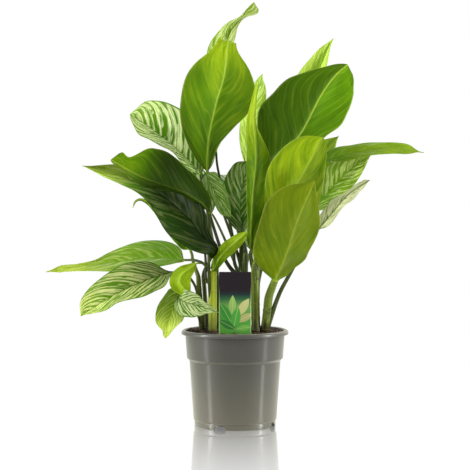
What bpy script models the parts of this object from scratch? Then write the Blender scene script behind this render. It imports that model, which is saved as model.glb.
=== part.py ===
"""Potted chinese evergreen: a striped aglaonema of several shoots in a nursery pot, with its plant card.

Run with: blender --background --python part.py
Units are metres, +Z is up, the pot stands on z = 0 with its axis on Z, and the card faces -Y.
Points along leaves and canes are written in millimetres and turned to metres where they are used.
"""

import math

import bmesh
import bpy
from mathutils import Vector

MM = 0.001
GAP = 0.0003  # clearance that touching pieces keep

# Nursery pot
POT_HEIGHT = 0.1525
WALL = 0.0016
LIP_RADIUS = 0.085
LIP_DROP = 0.0068  # how far the rolled lip hangs down
LIP_THICKNESS = 0.0020
COLLAR_TOP_RADIUS = 0.0790
COLLAR_FOOT_RADIUS = 0.0763
COLLAR_FOOT_Z = 0.108
STEP_HEIGHT = 0.003
BODY_TOP_RADIUS = 0.0722
BODY_FOOT_RADIUS = 0.0659
FOOT_RADIUS = 0.0644
FOOT_HEIGHT = 0.0103
FOOT_RING_WIDTH = 0.0045
FOOT_EDGE = 0.0012  # the small round at the foot's outer edge
CENTRE_PAD_RADIUS = 0.030
CHANNEL_HEIGHT = 0.0080  # the drain channel between the foot ring and the middle pad
POT_STEPS = 48
NOTCHES = 4
FIRST_NOTCH_DEG = -112.0
NOTCH_WIDTH = 0.0205
NOTCH_HEIGHT = 0.0080
DRAIN_HOLES = 8
DRAIN_HOLE_RADIUS = 0.004
DRAIN_CIRCLE_RADIUS = 0.045

# Soil and the canes that stand in it
SOIL_TOP_Z = 0.1497
SOIL_DOME = 0.002
SOCKET_DEPTH = 0.030
CANE_SIDES = 12
CANE_RINGS = 6

# Plant card
CARD_WIDTH = 0.050
CARD_TOP_Z = 0.2483
CARD_FOOT_Z = 0.1505  # the card's lower edge, just above the soil
CARD_CORNER = 0.004
CARD_THICKNESS = 0.0007
CARD_Y = -0.064
CARD_LEAN_DEG = 1.5
STAKE_WIDTH = 0.030
STAKE_DEPTH = 0.045
STAKE_POINT = 0.025  # how much of the stake's length its point takes

# Leaves
BLADE_RINGS = 10
HALF_CELLS = 2  # cells across each half of a blade
STALK_RING_SPACING = 0.020
STALK_LEAD = 0.004  # a stalk leaves its cane square to it for this far
STALK_SIDES = 4 * HALF_CELLS + 2  # as many as a blade's cross-section has points
STALK_FOOT_RADIUS = (0.0014, 0.035)  # a fixed part, and a part of the blade's mean half width
STALK_END_RADIUS = (0.0009, 0.026)
BLADE_THICKNESS = 0.0009
RIB_DEPTH = 0.0016  # how far the midrib stands out under the blade at its base
BASE_ROUNDING = 0.62
TIP_TAPER = 1.25
TIP_HALF_WIDTH = 0.0007
BULGE = 0.06  # how far each half arches up, as a part of its width
CURVE_SAMPLES = 16  # points worked out between two given points of a curve

COLOURS = {
    "pot_plastic": ((0.150, 0.142, 0.112), 0.42),
    "soil": ((0.030, 0.017, 0.011), 0.95),
    "card": ((0.100, 0.160, 0.060), 0.35),
    "stem": ((0.300, 0.300, 0.060), 0.50),
    "striped_leaf": ((0.180, 0.280, 0.120), 0.38),
    "plain_leaf": ((0.200, 0.290, 0.060), 0.42),
}

# Each cane: its foot in the soil (x, y), its top (x, y, z), and its radius at foot and top, in mm.
CANES = {
    "front": ((-35.5, -31), (-35, -32, 249), 5.2, 5.0),
    "front_inner": ((-27.5, -21), (-30, -14, 258), 4.6, 3.8),
    "left": ((-52, -8), (-58, -5, 236), 5.0, 3.8),
    "left_inner": ((-44, 6), (-50, 4, 238), 4.2, 3.4),
    "middle": ((33, -30), (31, -29, 250), 7.2, 6.2),
    "right": ((46, -27), (53, -41, 208), 5.2, 5.2),
    "centre": ((13, 4), (17, 4, 275), 5.4, 4.4),
    "back": ((8, 40), (12, 46, 285), 6.2, 5.0),
    "back_right": ((33, 34), (36, 42, 262), 6.0, 4.8),
}

# Each leaf, in mm: the cane that bears it and the height of its foot there (or "top"), the points of its
# stalk up to the blade, the points of its midrib from the blade's base to the tip, and, at the widest
# place, the steps from the midrib to the left and right edges, as seen on the upper face with the tip
# ahead. widest is that place as a part of the blade's length, rounding shapes the base (lower is fuller)
# and taper the tip (lower is blunter).
LEAVES = {
    "tall_front": dict(
        cane="front_inner", foot="top", stalk=[(-35, -7, 286), (-40, 0, 316), (-44, 3, 350), (-44, -2, 404)],
        rib=[(-41, -22, 455), (-30, -45, 506), (-17, -62, 550), (-12, -74, 602)],
        left=(56, 14, -10), right=(-55, 10, 8), widest=0.52, taper=0.55),
    "tall_back": dict(
        cane="back", foot=268, stalk=[(-4, 36, 312), (-24, 30, 390), (-30, 20, 436)],
        rib=[(-28, 17, 520), (-25, 14, 580), (-10, 14, 622), (10, 14, 644), (33, 15, 669)],
        left=(-30, -10, 8), right=(26, -20, -8), widest=0.46, taper=1.5),
    "upper_left": dict(
        cane="back", foot=250, stalk=[(-14, 40, 286), (-42, 38, 346), (-56, 12, 398)],
        rib=[(-87, 8, 433), (-127, 12, 466), (-167, 15, 494)],
        left=(-12, -38, -15), right=(35, 6, 41), widest=0.52, taper=0.5),
    "shaded_left": dict(
        cane="front", foot=214, stalk=[(-37, -46, 250), (-38, -45, 300), (-42, -40, 342)],
        rib=[(-70, -50, 367), (-98, -60, 379), (-144, -70, 396), (-192, -72, 422)],
        left=(14, 15, 47), right=(-6, 28, -19), widest=0.50, taper=0.85),
    "long_left": dict(
        cane="left_inner", foot="top", stalk=[(-50, 4, 258), (-50, 6, 284)],
        rib=[(-74, 8, 335), (-119, 12, 369), (-182, 10, 396), (-242, 6, 412)],
        left=(-14, -26, -26), right=(22, 8, 38), widest=0.42),
    "hooked_left": dict(
        cane="left", foot="top", stalk=[(-61, 5, 250), (-66, 15, 271)],
        rib=[(-101, 12, 319), (-136, 18, 341), (-165, 22, 349)],
        left=(20, 12, 28), right=(-16, 4, -20), widest=0.42),
    "low_left": dict(
        cane="front", foot=243, stalk=[(-48, -26, 258), (-64, -18, 264), (-82, 4, 263)],
        rib=[(-136, 24, 265), (-215, 22, 255), (-300, 0, 244)],
        left=(0, -38, -15), right=(0, 34, 27), widest=0.30, taper=1.5),
    "lower_left": dict(
        cane="left", foot=200, stalk=[(-64, -20, 226), (-80, -28, 245), (-97, -34, 246)],
        rib=[(-140, -46, 233), (-187, -54, 212), (-240, -60, 179)],
        left=(10, -34, -18), right=(-16, 12, 31), widest=0.50, taper=0.75),
    "small_folded": dict(
        cane="front", foot=236, stalk=[(-45, -40, 252), (-56, -47, 257), (-66, -53, 253)],
        rib=[(-82, -62, 242), (-99, -66, 230)],
        left=(-10, 6, 12), right=(11, 8, -13), widest=0.45),
    "hanging_left": dict(
        cane="left", foot=178, stalk=[(-66, -6, 200), (-74, -10, 217), (-83, -15, 216)],
        rib=[(-95, -28, 194), (-104, -40, 169), (-109, -46, 143)],
        left=(18, -12, -6), right=(-22, 6, 8), widest=0.50, taper=0.9),
    "small_striped": dict(
        cane="left", foot=164, stalk=[(-64, -24, 188), (-80, -42, 211), (-87, -56, 208)],
        rib=[(-78, -68, 202), (-55, -74, 196), (-25, -76, 186)],
        left=(4, -4, 18), right=(-3, -8, -15), widest=0.36),
    "drooping_inner": dict(
        cane="front", foot=225,
        stalk=[(-46, -33, 238), (-46, -33, 262), (-49, -32, 300), (-54, -25, 350), (-54, -20, 386),
               (-47, -22, 399)],
        rib=[(-36, -26, 380), (-20, -28, 353), (-6, -28, 331)],
        left=(16, 3, 14), right=(-20, -2, -16), widest=0.42),
    "inner": dict(
        cane="centre", foot="top", stalk=[(15, 4, 290), (11, 4, 306)],
        rib=[(8, 8, 348), (13, 14, 388), (28, 16, 424)],
        left=(-28, -8, 4), right=(24, 4, 0), widest=0.48),
    "young_front": dict(
        cane="front", foot="top", stalk=[(-31, -33, 256)],
        rib=[(-28, -37, 267), (-17, -42, 282), (-2, -46, 292), (20, -47, 302)],
        left=(5, 3, -9), right=(-5, 3, 9), widest=0.45, rounding=0.3, taper=0.8),
    "narrow_middle": dict(
        cane="middle", foot="top", stalk=[(26, -27, 275), (24, -28, 303)],
        rib=[(30, -46, 366), (34, -60, 428), (29, -71, 482), (34, -78, 539)],
        left=(22, 10, 0), right=(-14, 8, 0), widest=0.40),
    "pale_behind": dict(
        cane="back", foot="top", stalk=[(11, 47, 345), (19, 38, 412)],
        rib=[(24, 41, 468), (33, 43, 516), (44, 43, 559)],
        left=(-18, -4, 0), right=(22, -6, 0), widest=0.50, taper=0.8),
    "front_middle": dict(
        cane="middle", foot=232, stalk=[(28, -44, 248), (31, -47, 264)],
        rib=[(47, -57, 296), (71, -72, 339), (100, -88, 394), (134, -92, 457)],
        left=(42, 26, -24), right=(-48, 6, 28), widest=0.50, taper=0.7),
    "front_right": dict(
        cane="right", foot="top", stalk=[(58, -46, 223), (64, -54, 239)],
        rib=[(78, -86, 275), (96, -112, 332), (121, -122, 391)],
        left=(36, 38, -12), right=(-54, 12, 16), widest=0.36, taper=0.9, rounding=0.45),
    "broad_right": dict(
        cane="middle", foot=240, stalk=[(40, -14, 290), (50, -10, 350), (58, -18, 417)],
        rib=[(99, -34, 458), (132, -44, 519), (167, -46, 568)],
        left=(46, 14, -26), right=(-54, 8, 28), widest=0.56, taper=0.5),
    "pointed_back": dict(
        cane="back_right", foot=246, stalk=[(45, 54, 290), (56, 55, 340), (76, 46, 395), (91, 34, 436)],
        rib=[(114, 34, 500), (133, 36, 561), (154, 36, 609)],
        left=(-32, -8, 12), right=(12, -26, -4), widest=0.42),
    "long_right": dict(
        cane="back_right", foot="top", stalk=[(60, 40, 312), (95, 30, 372), (123, 22, 407)],
        rib=[(176, 32, 431), (240, 36, 442), (302, 30, 433)],
        left=(0, 30, 14), right=(0, -32, -7), widest=0.42),
    "striped_right": dict(
        cane="back_right", foot=238, stalk=[(70, 46, 270), (110, 40, 316), (139, 34, 350)],
        rib=[(162, 43, 383), (188, 46, 410), (217, 46, 428)],
        left=(-14, 6, 18), right=(14, -10, -15), widest=0.50, taper=0.9),
    "olive_right": dict(
        cane="right", foot=163, stalk=[(69, -22, 209), (84, -20, 238), (108, -14, 280), (132, -20, 313)],
        rib=[(154, -26, 340), (177, -30, 367), (211, -30, 390)],
        left=(6, 20, -7), right=(-13, 14, 13), widest=0.42),
    "tip_behind": dict(
        cane="back_right", foot=222, stalk=[(72, 60, 270), (104, 82, 340), (114, 92, 376)],
        rib=[(132, 96, 412), (150, 94, 440), (169, 88, 460)],
        left=(-20, -4, 14), right=(16, -12, -12), widest=0.45),
    "rear_left": dict(
        cane="back", foot=230, stalk=[(-6, 64, 268), (-38, 76, 335)],
        rib=[(-82, 120, 385), (-112, 176, 402), (-132, 218, 388)],
        left=(-26, -18, 18), right=(26, 14, 22), widest=0.42),
    "rear_middle": dict(
        cane="back", foot=272, stalk=[(6, 62, 300), (2, 80, 338)],
        rib=[(2, 118, 378), (4, 168, 392), (4, 212, 380)],
        left=(-42, 4, 6), right=(40, 4, 8), widest=0.45),
    "rear_right": dict(
        cane="back_right", foot=214, stalk=[(44, 68, 250), (54, 90, 312)],
        rib=[(86, 134, 372), (112, 172, 392), (132, 206, 380)],
        left=(-24, 14, 20), right=(28, -16, 14), widest=0.42),
    "rear_upper_left": dict(
        cane="back", foot=258, stalk=[(-8, 52, 306), (-34, 66, 374), (-44, 72, 404)],
        rib=[(-66, 104, 442), (-82, 142, 458), (-95, 176, 452)],
        left=(-26, -14, 20), right=(28, 8, 18), widest=0.45),
    "rear_upper_right": dict(
        cane="back_right", foot=232, stalk=[(26, 64, 266), (44, 74, 334), (68, 84, 396)],
        rib=[(92, 122, 448), (106, 160, 466), (118, 194, 462)],
        left=(-26, 12, 20), right=(28, -10, 18), widest=0.45),
    "rear_low": dict(
        cane="back", foot=240, stalk=[(20, 66, 256), (26, 80, 276)],
        rib=[(34, 124, 300), (48, 170, 300), (60, 218, 276)],
        left=(-32, 8, 12), right=(34, -6, 8), widest=0.42),
    "rear_lowest": dict(
        cane="back", foot=180, stalk=[(7, 64, 206), (6, 76, 221)],
        rib=[(4, 112, 228), (8, 148, 216), (10, 180, 190)],
        left=(-28, 0, 8), right=(28, 2, 6), widest=0.42),
}

STRIPED = {
    "tall_back", "upper_left", "long_left", "low_left", "lower_left", "hanging_left", "small_striped",
    "drooping_inner", "inner", "pale_behind", "pointed_back", "long_right", "striped_right",
    "tip_behind", "rear_left", "rear_middle", "rear_right", "rear_upper_left", "rear_upper_right",
    "rear_low", "rear_lowest",
}


def clear_scene():
    for obj in list(bpy.data.objects):
        bpy.data.objects.remove(obj, do_unlink=True)


def make_collection(name):
    collection = bpy.data.collections.new(name)
    bpy.context.scene.collection.children.link(collection)
    return collection


def material(name):
    found = bpy.data.materials.get(name)
    if found:
        return found
    colour, roughness = COLOURS[name]
    made = bpy.data.materials.new(name)
    made.use_nodes = True
    shader = made.node_tree.nodes["Principled BSDF"]
    shader.inputs["Base Color"].default_value = (*colour, 1.0)
    shader.inputs["Roughness"].default_value = roughness
    made.diffuse_color = (*colour, 1.0)
    return made


def add_object(name, bm, collection, material_name=None):
    mesh = bpy.data.meshes.new(name)
    bm.to_mesh(mesh)
    bm.free()
    obj = bpy.data.objects.new(name, mesh)
    collection.objects.link(obj)
    if material_name:
        mesh.materials.append(material(material_name))
        mesh.shade_smooth()
        mesh.set_sharp_from_angle(angle=math.radians(40))
    return obj


def turned(name, profile, collection, material_name):
    """A shape turned about Z. Its (radius, height) points run up the outside, from axis to axis."""
    bm = bmesh.new()
    points = [bm.verts.new((radius, 0.0, height)) for radius, height in reversed(profile)]
    for first, second in zip(points, points[1:]):
        bm.edges.new((first, second))
    obj = add_object(name, bm, collection, material_name)
    screw = obj.modifiers.new("turn", "SCREW")
    screw.steps = POT_STEPS
    screw.render_steps = POT_STEPS
    screw.use_merge_vertices = True
    screw.merge_threshold = 0.00001
    return obj


def cut(obj, cutter):
    cutter.hide_render = True
    cutter.display_type = "WIRE"
    boolean = obj.modifiers.new("cut_" + cutter.name, "BOOLEAN")
    boolean.operation = "DIFFERENCE"
    boolean.object = cutter


def smooth_points(points, count):
    """count points at even distances along a Catmull-Rom curve through the given ones."""
    ends = [2 * points[0] - points[1], *points, 2 * points[-1] - points[-2]]
    fine = []
    for a, b, c, d in zip(ends, ends[1:], ends[2:], ends[3:]):
        for k in range(CURVE_SAMPLES):
            t = k / CURVE_SAMPLES
            fine.append(0.5 * (2 * b + (c - a) * t + (2 * a - 5 * b + 4 * c - d) * t**2
                               + (3 * b - a - 3 * c + d) * t**3))
    fine.append(points[-1])
    lengths = [0.0]
    for first, second in zip(fine, fine[1:]):
        lengths.append(lengths[-1] + (second - first).length)
    result = []
    segment = 0
    for k in range(count):
        wanted = lengths[-1] * k / (count - 1)
        while segment < len(fine) - 2 and lengths[segment + 1] < wanted:
            segment += 1
        span = lengths[segment + 1] - lengths[segment]
        result.append(fine[segment].lerp(fine[segment + 1], (wanted - lengths[segment]) / span))
    return result


def loft(rings):
    """A closed skin over rings of points that each have the same count."""
    bm = bmesh.new()
    rows = [[bm.verts.new(point) for point in ring] for ring in rings]
    for row, following in zip(rows, rows[1:]):
        for k in range(len(row)):
            after = (k + 1) % len(row)
            bm.faces.new((row[k], row[after], following[after], following[k]))
    bm.faces.new(list(reversed(rows[0])))
    bm.faces.new(rows[-1])
    bmesh.ops.recalc_face_normals(bm, faces=bm.faces)
    return bm


def cane_centre(cane, height):
    """The cane's centre and radius at a height, all in metres."""
    (foot_x, foot_y), (top_x, top_y, top_z), foot_radius, top_radius = CANES[cane]
    part = (height - SOIL_TOP_Z) / (top_z * MM - SOIL_TOP_Z)
    centre = Vector((foot_x + (top_x - foot_x) * part, foot_y + (top_y - foot_y) * part, 0.0)) * MM
    centre.z = height
    return centre, (foot_radius + (top_radius - foot_radius) * part) * MM


def pot_profile():
    """The wall's section from the middle of the base, round the outside and lip, to the inner floor."""
    floor = CHANNEL_HEIGHT + WALL
    ring_inner = FOOT_RADIUS - FOOT_RING_WIDTH
    lip_inner = LIP_RADIUS - LIP_THICKNESS
    lip_foot = POT_HEIGHT - LIP_DROP
    base = [
        (0.0, 0.0),
        (CENTRE_PAD_RADIUS, 0.0),
        (CENTRE_PAD_RADIUS + LIP_THICKNESS, CHANNEL_HEIGHT),
        (ring_inner - FOOT_EDGE, CHANNEL_HEIGHT),
        (ring_inner, 0.0),
        (FOOT_RADIUS - FOOT_EDGE, 0.0),
        (FOOT_RADIUS, FOOT_EDGE),
        (FOOT_RADIUS, FOOT_HEIGHT - FOOT_EDGE),
    ]
    outside = [
        (BODY_FOOT_RADIUS, FOOT_HEIGHT),
        (BODY_TOP_RADIUS, COLLAR_FOOT_Z - STEP_HEIGHT),
        (COLLAR_FOOT_RADIUS, COLLAR_FOOT_Z),
        (COLLAR_TOP_RADIUS, POT_HEIGHT - 0.70 * LIP_DROP),
    ]
    lip = [
        (COLLAR_TOP_RADIUS + WALL, POT_HEIGHT - 0.30 * LIP_DROP),
        (lip_inner - WALL, POT_HEIGHT - 0.28 * LIP_DROP),
        (lip_inner, POT_HEIGHT - 0.55 * LIP_DROP),
        (lip_inner, lip_foot),
        (LIP_RADIUS, lip_foot),
        (LIP_RADIUS, POT_HEIGHT - 0.55 * LIP_DROP),
        (LIP_RADIUS - 0.5 * WALL, POT_HEIGHT - 0.25 * LIP_DROP),
        (LIP_RADIUS - 2.0 * WALL, POT_HEIGHT),
        (COLLAR_TOP_RADIUS + WALL, POT_HEIGHT),
        (COLLAR_TOP_RADIUS - 0.5 * WALL, POT_HEIGHT - 0.15 * LIP_DROP),
    ]
    inside = [
        (COLLAR_TOP_RADIUS - WALL, POT_HEIGHT - 0.50 * LIP_DROP),
        (COLLAR_FOOT_RADIUS - WALL, COLLAR_FOOT_Z),
        (BODY_TOP_RADIUS - WALL, COLLAR_FOOT_Z - STEP_HEIGHT),
        (BODY_FOOT_RADIUS - WALL, floor),
        (CENTRE_PAD_RADIUS + LIP_THICKNESS, floor),
        (CENTRE_PAD_RADIUS - WALL, WALL),
        (0.0, WALL),
    ]
    return base + outside + lip + inside


def make_pot(parts, cutters):
    pot = turned("pot", pot_profile(), parts, "pot_plastic")
    for k in range(NOTCHES):
        cut(pot, notch_cutter(k, cutters))
    for k in range(DRAIN_HOLES):
        cut(pot, drain_cutter(k, cutters))


def drain_cutter(number, cutters):
    """A round hole through the floor of the drain channel."""
    angle = math.radians(FIRST_NOTCH_DEG + (number + 0.5) * 360 / DRAIN_HOLES)
    bm = bmesh.new()
    bmesh.ops.create_cone(bm, cap_ends=True, segments=16, radius1=DRAIN_HOLE_RADIUS,
                          radius2=DRAIN_HOLE_RADIUS, depth=4 * WALL)
    hole = add_object(f"drain_hole_{number + 1}", bm, cutters)
    hole.location = (math.cos(angle) * DRAIN_CIRCLE_RADIUS, math.sin(angle) * DRAIN_CIRCLE_RADIUS,
                     CHANNEL_HEIGHT + WALL / 2)
    return hole


def notch_cutter(number, cutters):
    """An arched opening through the foot ring, cut by the upper half of a flattened cylinder."""
    angle = math.radians(FIRST_NOTCH_DEG + number * 360 / NOTCHES)
    bm = bmesh.new()
    bmesh.ops.create_cone(bm, cap_ends=True, segments=24, radius1=NOTCH_WIDTH / 2,
                          radius2=NOTCH_WIDTH / 2, depth=3 * FOOT_RING_WIDTH)
    bmesh.ops.scale(bm, verts=bm.verts, vec=(1.0, 2 * NOTCH_HEIGHT / NOTCH_WIDTH, 1.0))
    notch = add_object(f"notch_{number + 1}", bm, cutters)
    notch.rotation_euler = (math.radians(90), 0.0, angle + math.radians(90))
    radius = FOOT_RADIUS - FOOT_RING_WIDTH / 2
    notch.location = (math.cos(angle) * radius, math.sin(angle) * radius, 0.0)
    return notch


def make_soil(parts, cutters):
    gap = WALL + GAP
    profile = [
        (0.0, CHANNEL_HEIGHT + gap),
        (BODY_FOOT_RADIUS - gap, CHANNEL_HEIGHT + gap),
        (BODY_TOP_RADIUS - gap, COLLAR_FOOT_Z - STEP_HEIGHT),
        (COLLAR_FOOT_RADIUS - gap, COLLAR_FOOT_Z),
        (COLLAR_TOP_RADIUS - gap - GAP, SOIL_TOP_Z - 0.6 * SOIL_DOME),
        (0.75 * COLLAR_TOP_RADIUS, SOIL_TOP_Z + 0.2 * SOIL_DOME),
        (0.40 * COLLAR_TOP_RADIUS, SOIL_TOP_Z + 0.8 * SOIL_DOME),
        (0.0, SOIL_TOP_Z + SOIL_DOME),
    ]
    soil = turned("soil", profile, parts, "soil")
    for name in CANES:
        rings = cane_rings(name, SOIL_TOP_Z - SOCKET_DEPTH, SOIL_TOP_Z + 2 * SOIL_DOME, GAP, 2)
        cut(soil, add_object("socket_" + name, loft(rings), cutters))
    cut(soil, stake_cutter(cutters))


def stake_cutter(cutters):
    """The slot that the card's stake has pushed into the soil."""
    bm = bmesh.new()
    bmesh.ops.create_cube(bm, size=1.0)
    size = (STAKE_WIDTH + 2 * GAP, CARD_THICKNESS + 2 * GAP, 2 * (STAKE_DEPTH + GAP))
    bmesh.ops.scale(bm, verts=bm.verts, vec=size)
    slot = add_object("stake_slot", bm, cutters)
    slot.location = (0.0, CARD_Y, CARD_FOOT_Z)
    slot.rotation_euler.x = math.radians(-CARD_LEAN_DEG)
    return slot


def make_card(parts):
    """A sheet with two round corners above and a pointed stake below, drawn from its lower edge up."""
    half = CARD_WIDTH / 2
    stake = STAKE_WIDTH / 2
    corner_z = CARD_TOP_Z - CARD_FOOT_Z - CARD_CORNER
    outline = [
        (-half, 0.0),
        (-stake, 0.0),
        (-stake, STAKE_POINT - STAKE_DEPTH),
        (0.0, -STAKE_DEPTH),
        (stake, STAKE_POINT - STAKE_DEPTH),
        (stake, 0.0),
        (half, 0.0),
    ]
    for side, start in ((1, 0), (-1, 90)):
        for k in range(5):
            angle = math.radians(start + 90 * k / 4)
            outline.append((side * (half - CARD_CORNER) + CARD_CORNER * math.cos(angle),
                            corner_z + CARD_CORNER * math.sin(angle)))
    bm = bmesh.new()
    bm.faces.new([bm.verts.new((x, 0.0, z)) for x, z in outline])
    card = add_object("plant_card", bm, parts, "card")
    card.location = (0.0, CARD_Y, CARD_FOOT_Z)
    card.rotation_euler.x = math.radians(-CARD_LEAN_DEG)
    sheet = card.modifiers.new("sheet", "SOLIDIFY")
    sheet.thickness = CARD_THICKNESS
    sheet.offset = 0.0


def cane_rings(name, low, high, clearance, count):
    """Rounds of points along a cane between two heights."""
    rings = []
    for k in range(count):
        centre, radius = cane_centre(name, low + (high - low) * k / (count - 1))
        rings.append([
            centre + Vector((math.cos(angle), math.sin(angle), 0.0)) * (radius + clearance)
            for angle in (2 * math.pi * side / CANE_SIDES for side in range(CANE_SIDES))
        ])
    return rings


def make_cane(name, parts):
    low = SOIL_TOP_Z - SOCKET_DEPTH + GAP
    high = CANES[name][1][2] * MM
    add_object("cane_" + name, loft(cane_rings(name, low, high, 0.0, CANE_RINGS)), parts, "stem")


def blade_width(u, spec):
    """The half width at a part u of the blade's length, 1 at its widest place."""
    widest = spec["widest"]
    if u < widest:
        return math.sin(math.pi / 2 * u / widest) ** spec.get("rounding", BASE_ROUNDING)
    beyond = (u - widest) / (1.0 - widest)
    return (1.0 - beyond**2) ** spec.get("taper", TIP_TAPER)


def square_to(side, tangent):
    """side turned square to tangent, keeping its length."""
    flat = side - tangent * side.dot(tangent)
    return flat.normalized() * side.length


def leaf_path(spec):
    """The leaf's foot on its cane, the way it leaves it, its stalk points and its midrib points."""
    stalk = [Vector(point) * MM for point in spec["stalk"]]
    rib = [Vector(point) * MM for point in spec["rib"]]
    if spec["foot"] == "top":
        outward = Vector((0.0, 0.0, 1.0))
        foot = Vector(CANES[spec["cane"]][1]) * MM + outward * GAP
    else:
        centre, radius = cane_centre(spec["cane"], spec["foot"] * MM)
        outward = stalk[0] - centre
        outward.z = 0.0
        outward.normalize()
        foot = centre + outward * (radius + GAP)
    return foot, outward, stalk, rib


def make_leaf(name, spec, parts):
    foot, outward, stalk, rib = leaf_path(spec)
    given = [foot + outward * STALK_LEAD, *stalk, *rib]
    whole = smooth_points(given, CURVE_SAMPLES * len(given))
    base = min(range(len(whole)), key=lambda k: (whole[k] - stalk[-1]).length)
    stalk_rings = max(4, round((whole[base] - foot).length / STALK_RING_SPACING))
    line = [foot, *smooth_points(whole[:base + 1], stalk_rings - 1)[:-1]]
    line += smooth_points(whole[base:], BLADE_RINGS + 1)
    widest = stalk_rings - 1 + round(spec["widest"] * BLADE_RINGS)
    wide_tangent = (line[widest + 1] - line[widest - 1]).normalized()
    left = square_to(Vector(spec["left"]) * MM, wide_tangent)
    right = square_to(Vector(spec["right"]) * MM, wide_tangent)
    size = (left.length + right.length) / 2
    foot_radius, end_radius = (fixed + part * size for fixed, part in (STALK_FOOT_RADIUS, STALK_END_RADIUS))
    rings = []
    for k, point in enumerate(line):
        tangent = outward
        if k > 0:
            tangent = (line[min(k + 1, len(line) - 1)] - line[k - 1]).normalized()
        turn = wide_tangent.rotation_difference(tangent)
        if k < stalk_rings:
            across = square_to(turn @ (right - left), tangent).normalized()
            radius = foot_radius + (end_radius - foot_radius) * k / (stalk_rings - 1)
            rings.append(stalk_ring(point, across, across.cross(tangent), radius))
        else:
            u = (k - stalk_rings + 1) / BLADE_RINGS
            width = max(blade_width(u, spec), TIP_HALF_WIDTH / size)
            rib_depth = RIB_DEPTH * (1 - u) + BLADE_THICKNESS / 2
            rings.append(blade_ring(point, tangent, turn @ left, turn @ right, width, rib_depth))
    used = "striped_leaf" if name in STRIPED else "plain_leaf"
    add_object("leaf_" + name, loft(rings), parts, used)


def stalk_ring(point, across, up, radius):
    """A circle whose points match those of a blade's cross-section, upper face first."""
    ring = []
    for k in range(STALK_SIDES):
        angle = math.pi * (1 - (2 * k + 1) / STALK_SIDES)
        ring.append(point + across * math.cos(angle) * radius + up * math.sin(angle) * radius)
    return ring


def blade_ring(point, tangent, left, right, width, rib_depth):
    """One cross-section: the upper face from left to right edge, then the lower face back."""
    upper = []
    lower = []
    for side, sign in ((left, -1), (right, 1)):
        normal = (side.cross(tangent) * sign).normalized()
        for k in range(1, HALF_CELLS + 1):
            part = k / HALF_CELLS
            arch = 4 * BULGE * part * (1 - part) * side.length * width
            place = point + side * width * part + normal * arch
            upper.append((sign * k, place + normal * BLADE_THICKNESS / 2))
            lower.append((sign * k, place - normal * BLADE_THICKNESS / 2))
    middle = (right.cross(tangent).normalized() - left.cross(tangent).normalized()).normalized()
    upper.append((0, point + middle * BLADE_THICKNESS / 2))
    lower.append((0, point - middle * rib_depth))
    over = [place for _, place in sorted(upper, key=lambda pair: pair[0])]
    under = [place for _, place in sorted(lower, key=lambda pair: -pair[0])]
    return over + under


def build():
    clear_scene()
    parts = make_collection("potted_chinese_evergreen")
    cutters = make_collection("cutters")
    make_pot(parts, cutters)
    make_soil(parts, cutters)
    make_card(parts)
    for name in CANES:
        make_cane(name, parts)
    for name, spec in LEAVES.items():
        make_leaf(name, spec, parts)


build()
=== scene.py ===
"""Potted chinese evergreen: the look of each piece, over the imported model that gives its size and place.

Run as a script in Blender 4.5. Everything is in metres with +Z up. The plant stands on z = 0 and its card
faces -Y. Points of leaves and canes are written in millimetres and are turned to metres where used.
"""

import math
import random
from functools import partial

import bmesh
import bpy
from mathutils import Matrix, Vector, noise


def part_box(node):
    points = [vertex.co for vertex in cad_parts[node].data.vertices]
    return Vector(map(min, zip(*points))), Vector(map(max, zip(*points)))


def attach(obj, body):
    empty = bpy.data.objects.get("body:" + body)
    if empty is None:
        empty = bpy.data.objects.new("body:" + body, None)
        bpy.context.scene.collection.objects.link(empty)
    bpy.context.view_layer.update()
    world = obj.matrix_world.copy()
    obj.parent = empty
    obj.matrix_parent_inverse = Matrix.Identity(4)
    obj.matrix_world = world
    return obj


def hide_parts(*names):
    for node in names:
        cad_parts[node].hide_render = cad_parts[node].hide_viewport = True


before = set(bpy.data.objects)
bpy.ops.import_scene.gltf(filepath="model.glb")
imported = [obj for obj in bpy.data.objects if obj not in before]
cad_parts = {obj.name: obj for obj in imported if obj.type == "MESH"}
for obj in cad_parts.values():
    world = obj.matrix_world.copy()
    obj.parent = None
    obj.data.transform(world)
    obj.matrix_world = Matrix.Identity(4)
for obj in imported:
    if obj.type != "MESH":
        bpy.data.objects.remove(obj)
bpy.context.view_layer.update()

bl_info = {
    "name": "Potted Chinese Evergreen",
    "version": (1, 0, 0),
    "blender": (4, 5, 0),
    "location": "View3D > Sidebar > Evergreen",
    "description": "Builds a striped aglaonema in its nursery pot, with soil, plant card and studio",
    "category": "Object",
}

MM = 0.001
BODY = "root"

_, POT_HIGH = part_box("pot")
POT_HEIGHT = POT_HIGH.z
LIP_RADIUS = POT_HIGH.x

# The pot's section, in metres
WALL = 0.0016
LIP_DROP = 0.0068
LIP_THICKNESS = 0.0020
COLLAR_TOP_RADIUS = 0.0790
COLLAR_FOOT_RADIUS = 0.0763
COLLAR_FOOT_Z = 0.108
STEP_HEIGHT = 0.0042
BODY_TOP_RADIUS = 0.0722
BODY_FOOT_RADIUS = 0.0659
FOOT_RADIUS = 0.0644
FOOT_HEIGHT = 0.0103
FOOT_RING_WIDTH = 0.0045
FOOT_RING_SLOPE = 0.0012
FOOT_GROOVE_DEPTH = 0.0004
FOOT_GROOVE_DROPS = (0.0022, 0.0018, 0.0012)  # its start, foot and top, below the top of the foot
CENTRE_PAD_RADIUS = 0.030
CENTRE_PAD_SLOPE = 0.0020
CHANNEL_HEIGHT = 0.0080
NOTCHES = 4
FIRST_NOTCH_DEG = -112.0
NOTCH_WIDTH = 0.0205
NOTCH_HEIGHT = 0.0080
DRAIN_HOLES = 8
DRAIN_HOLE_RADIUS = 0.004
DRAIN_CIRCLE_RADIUS = 0.045

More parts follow.
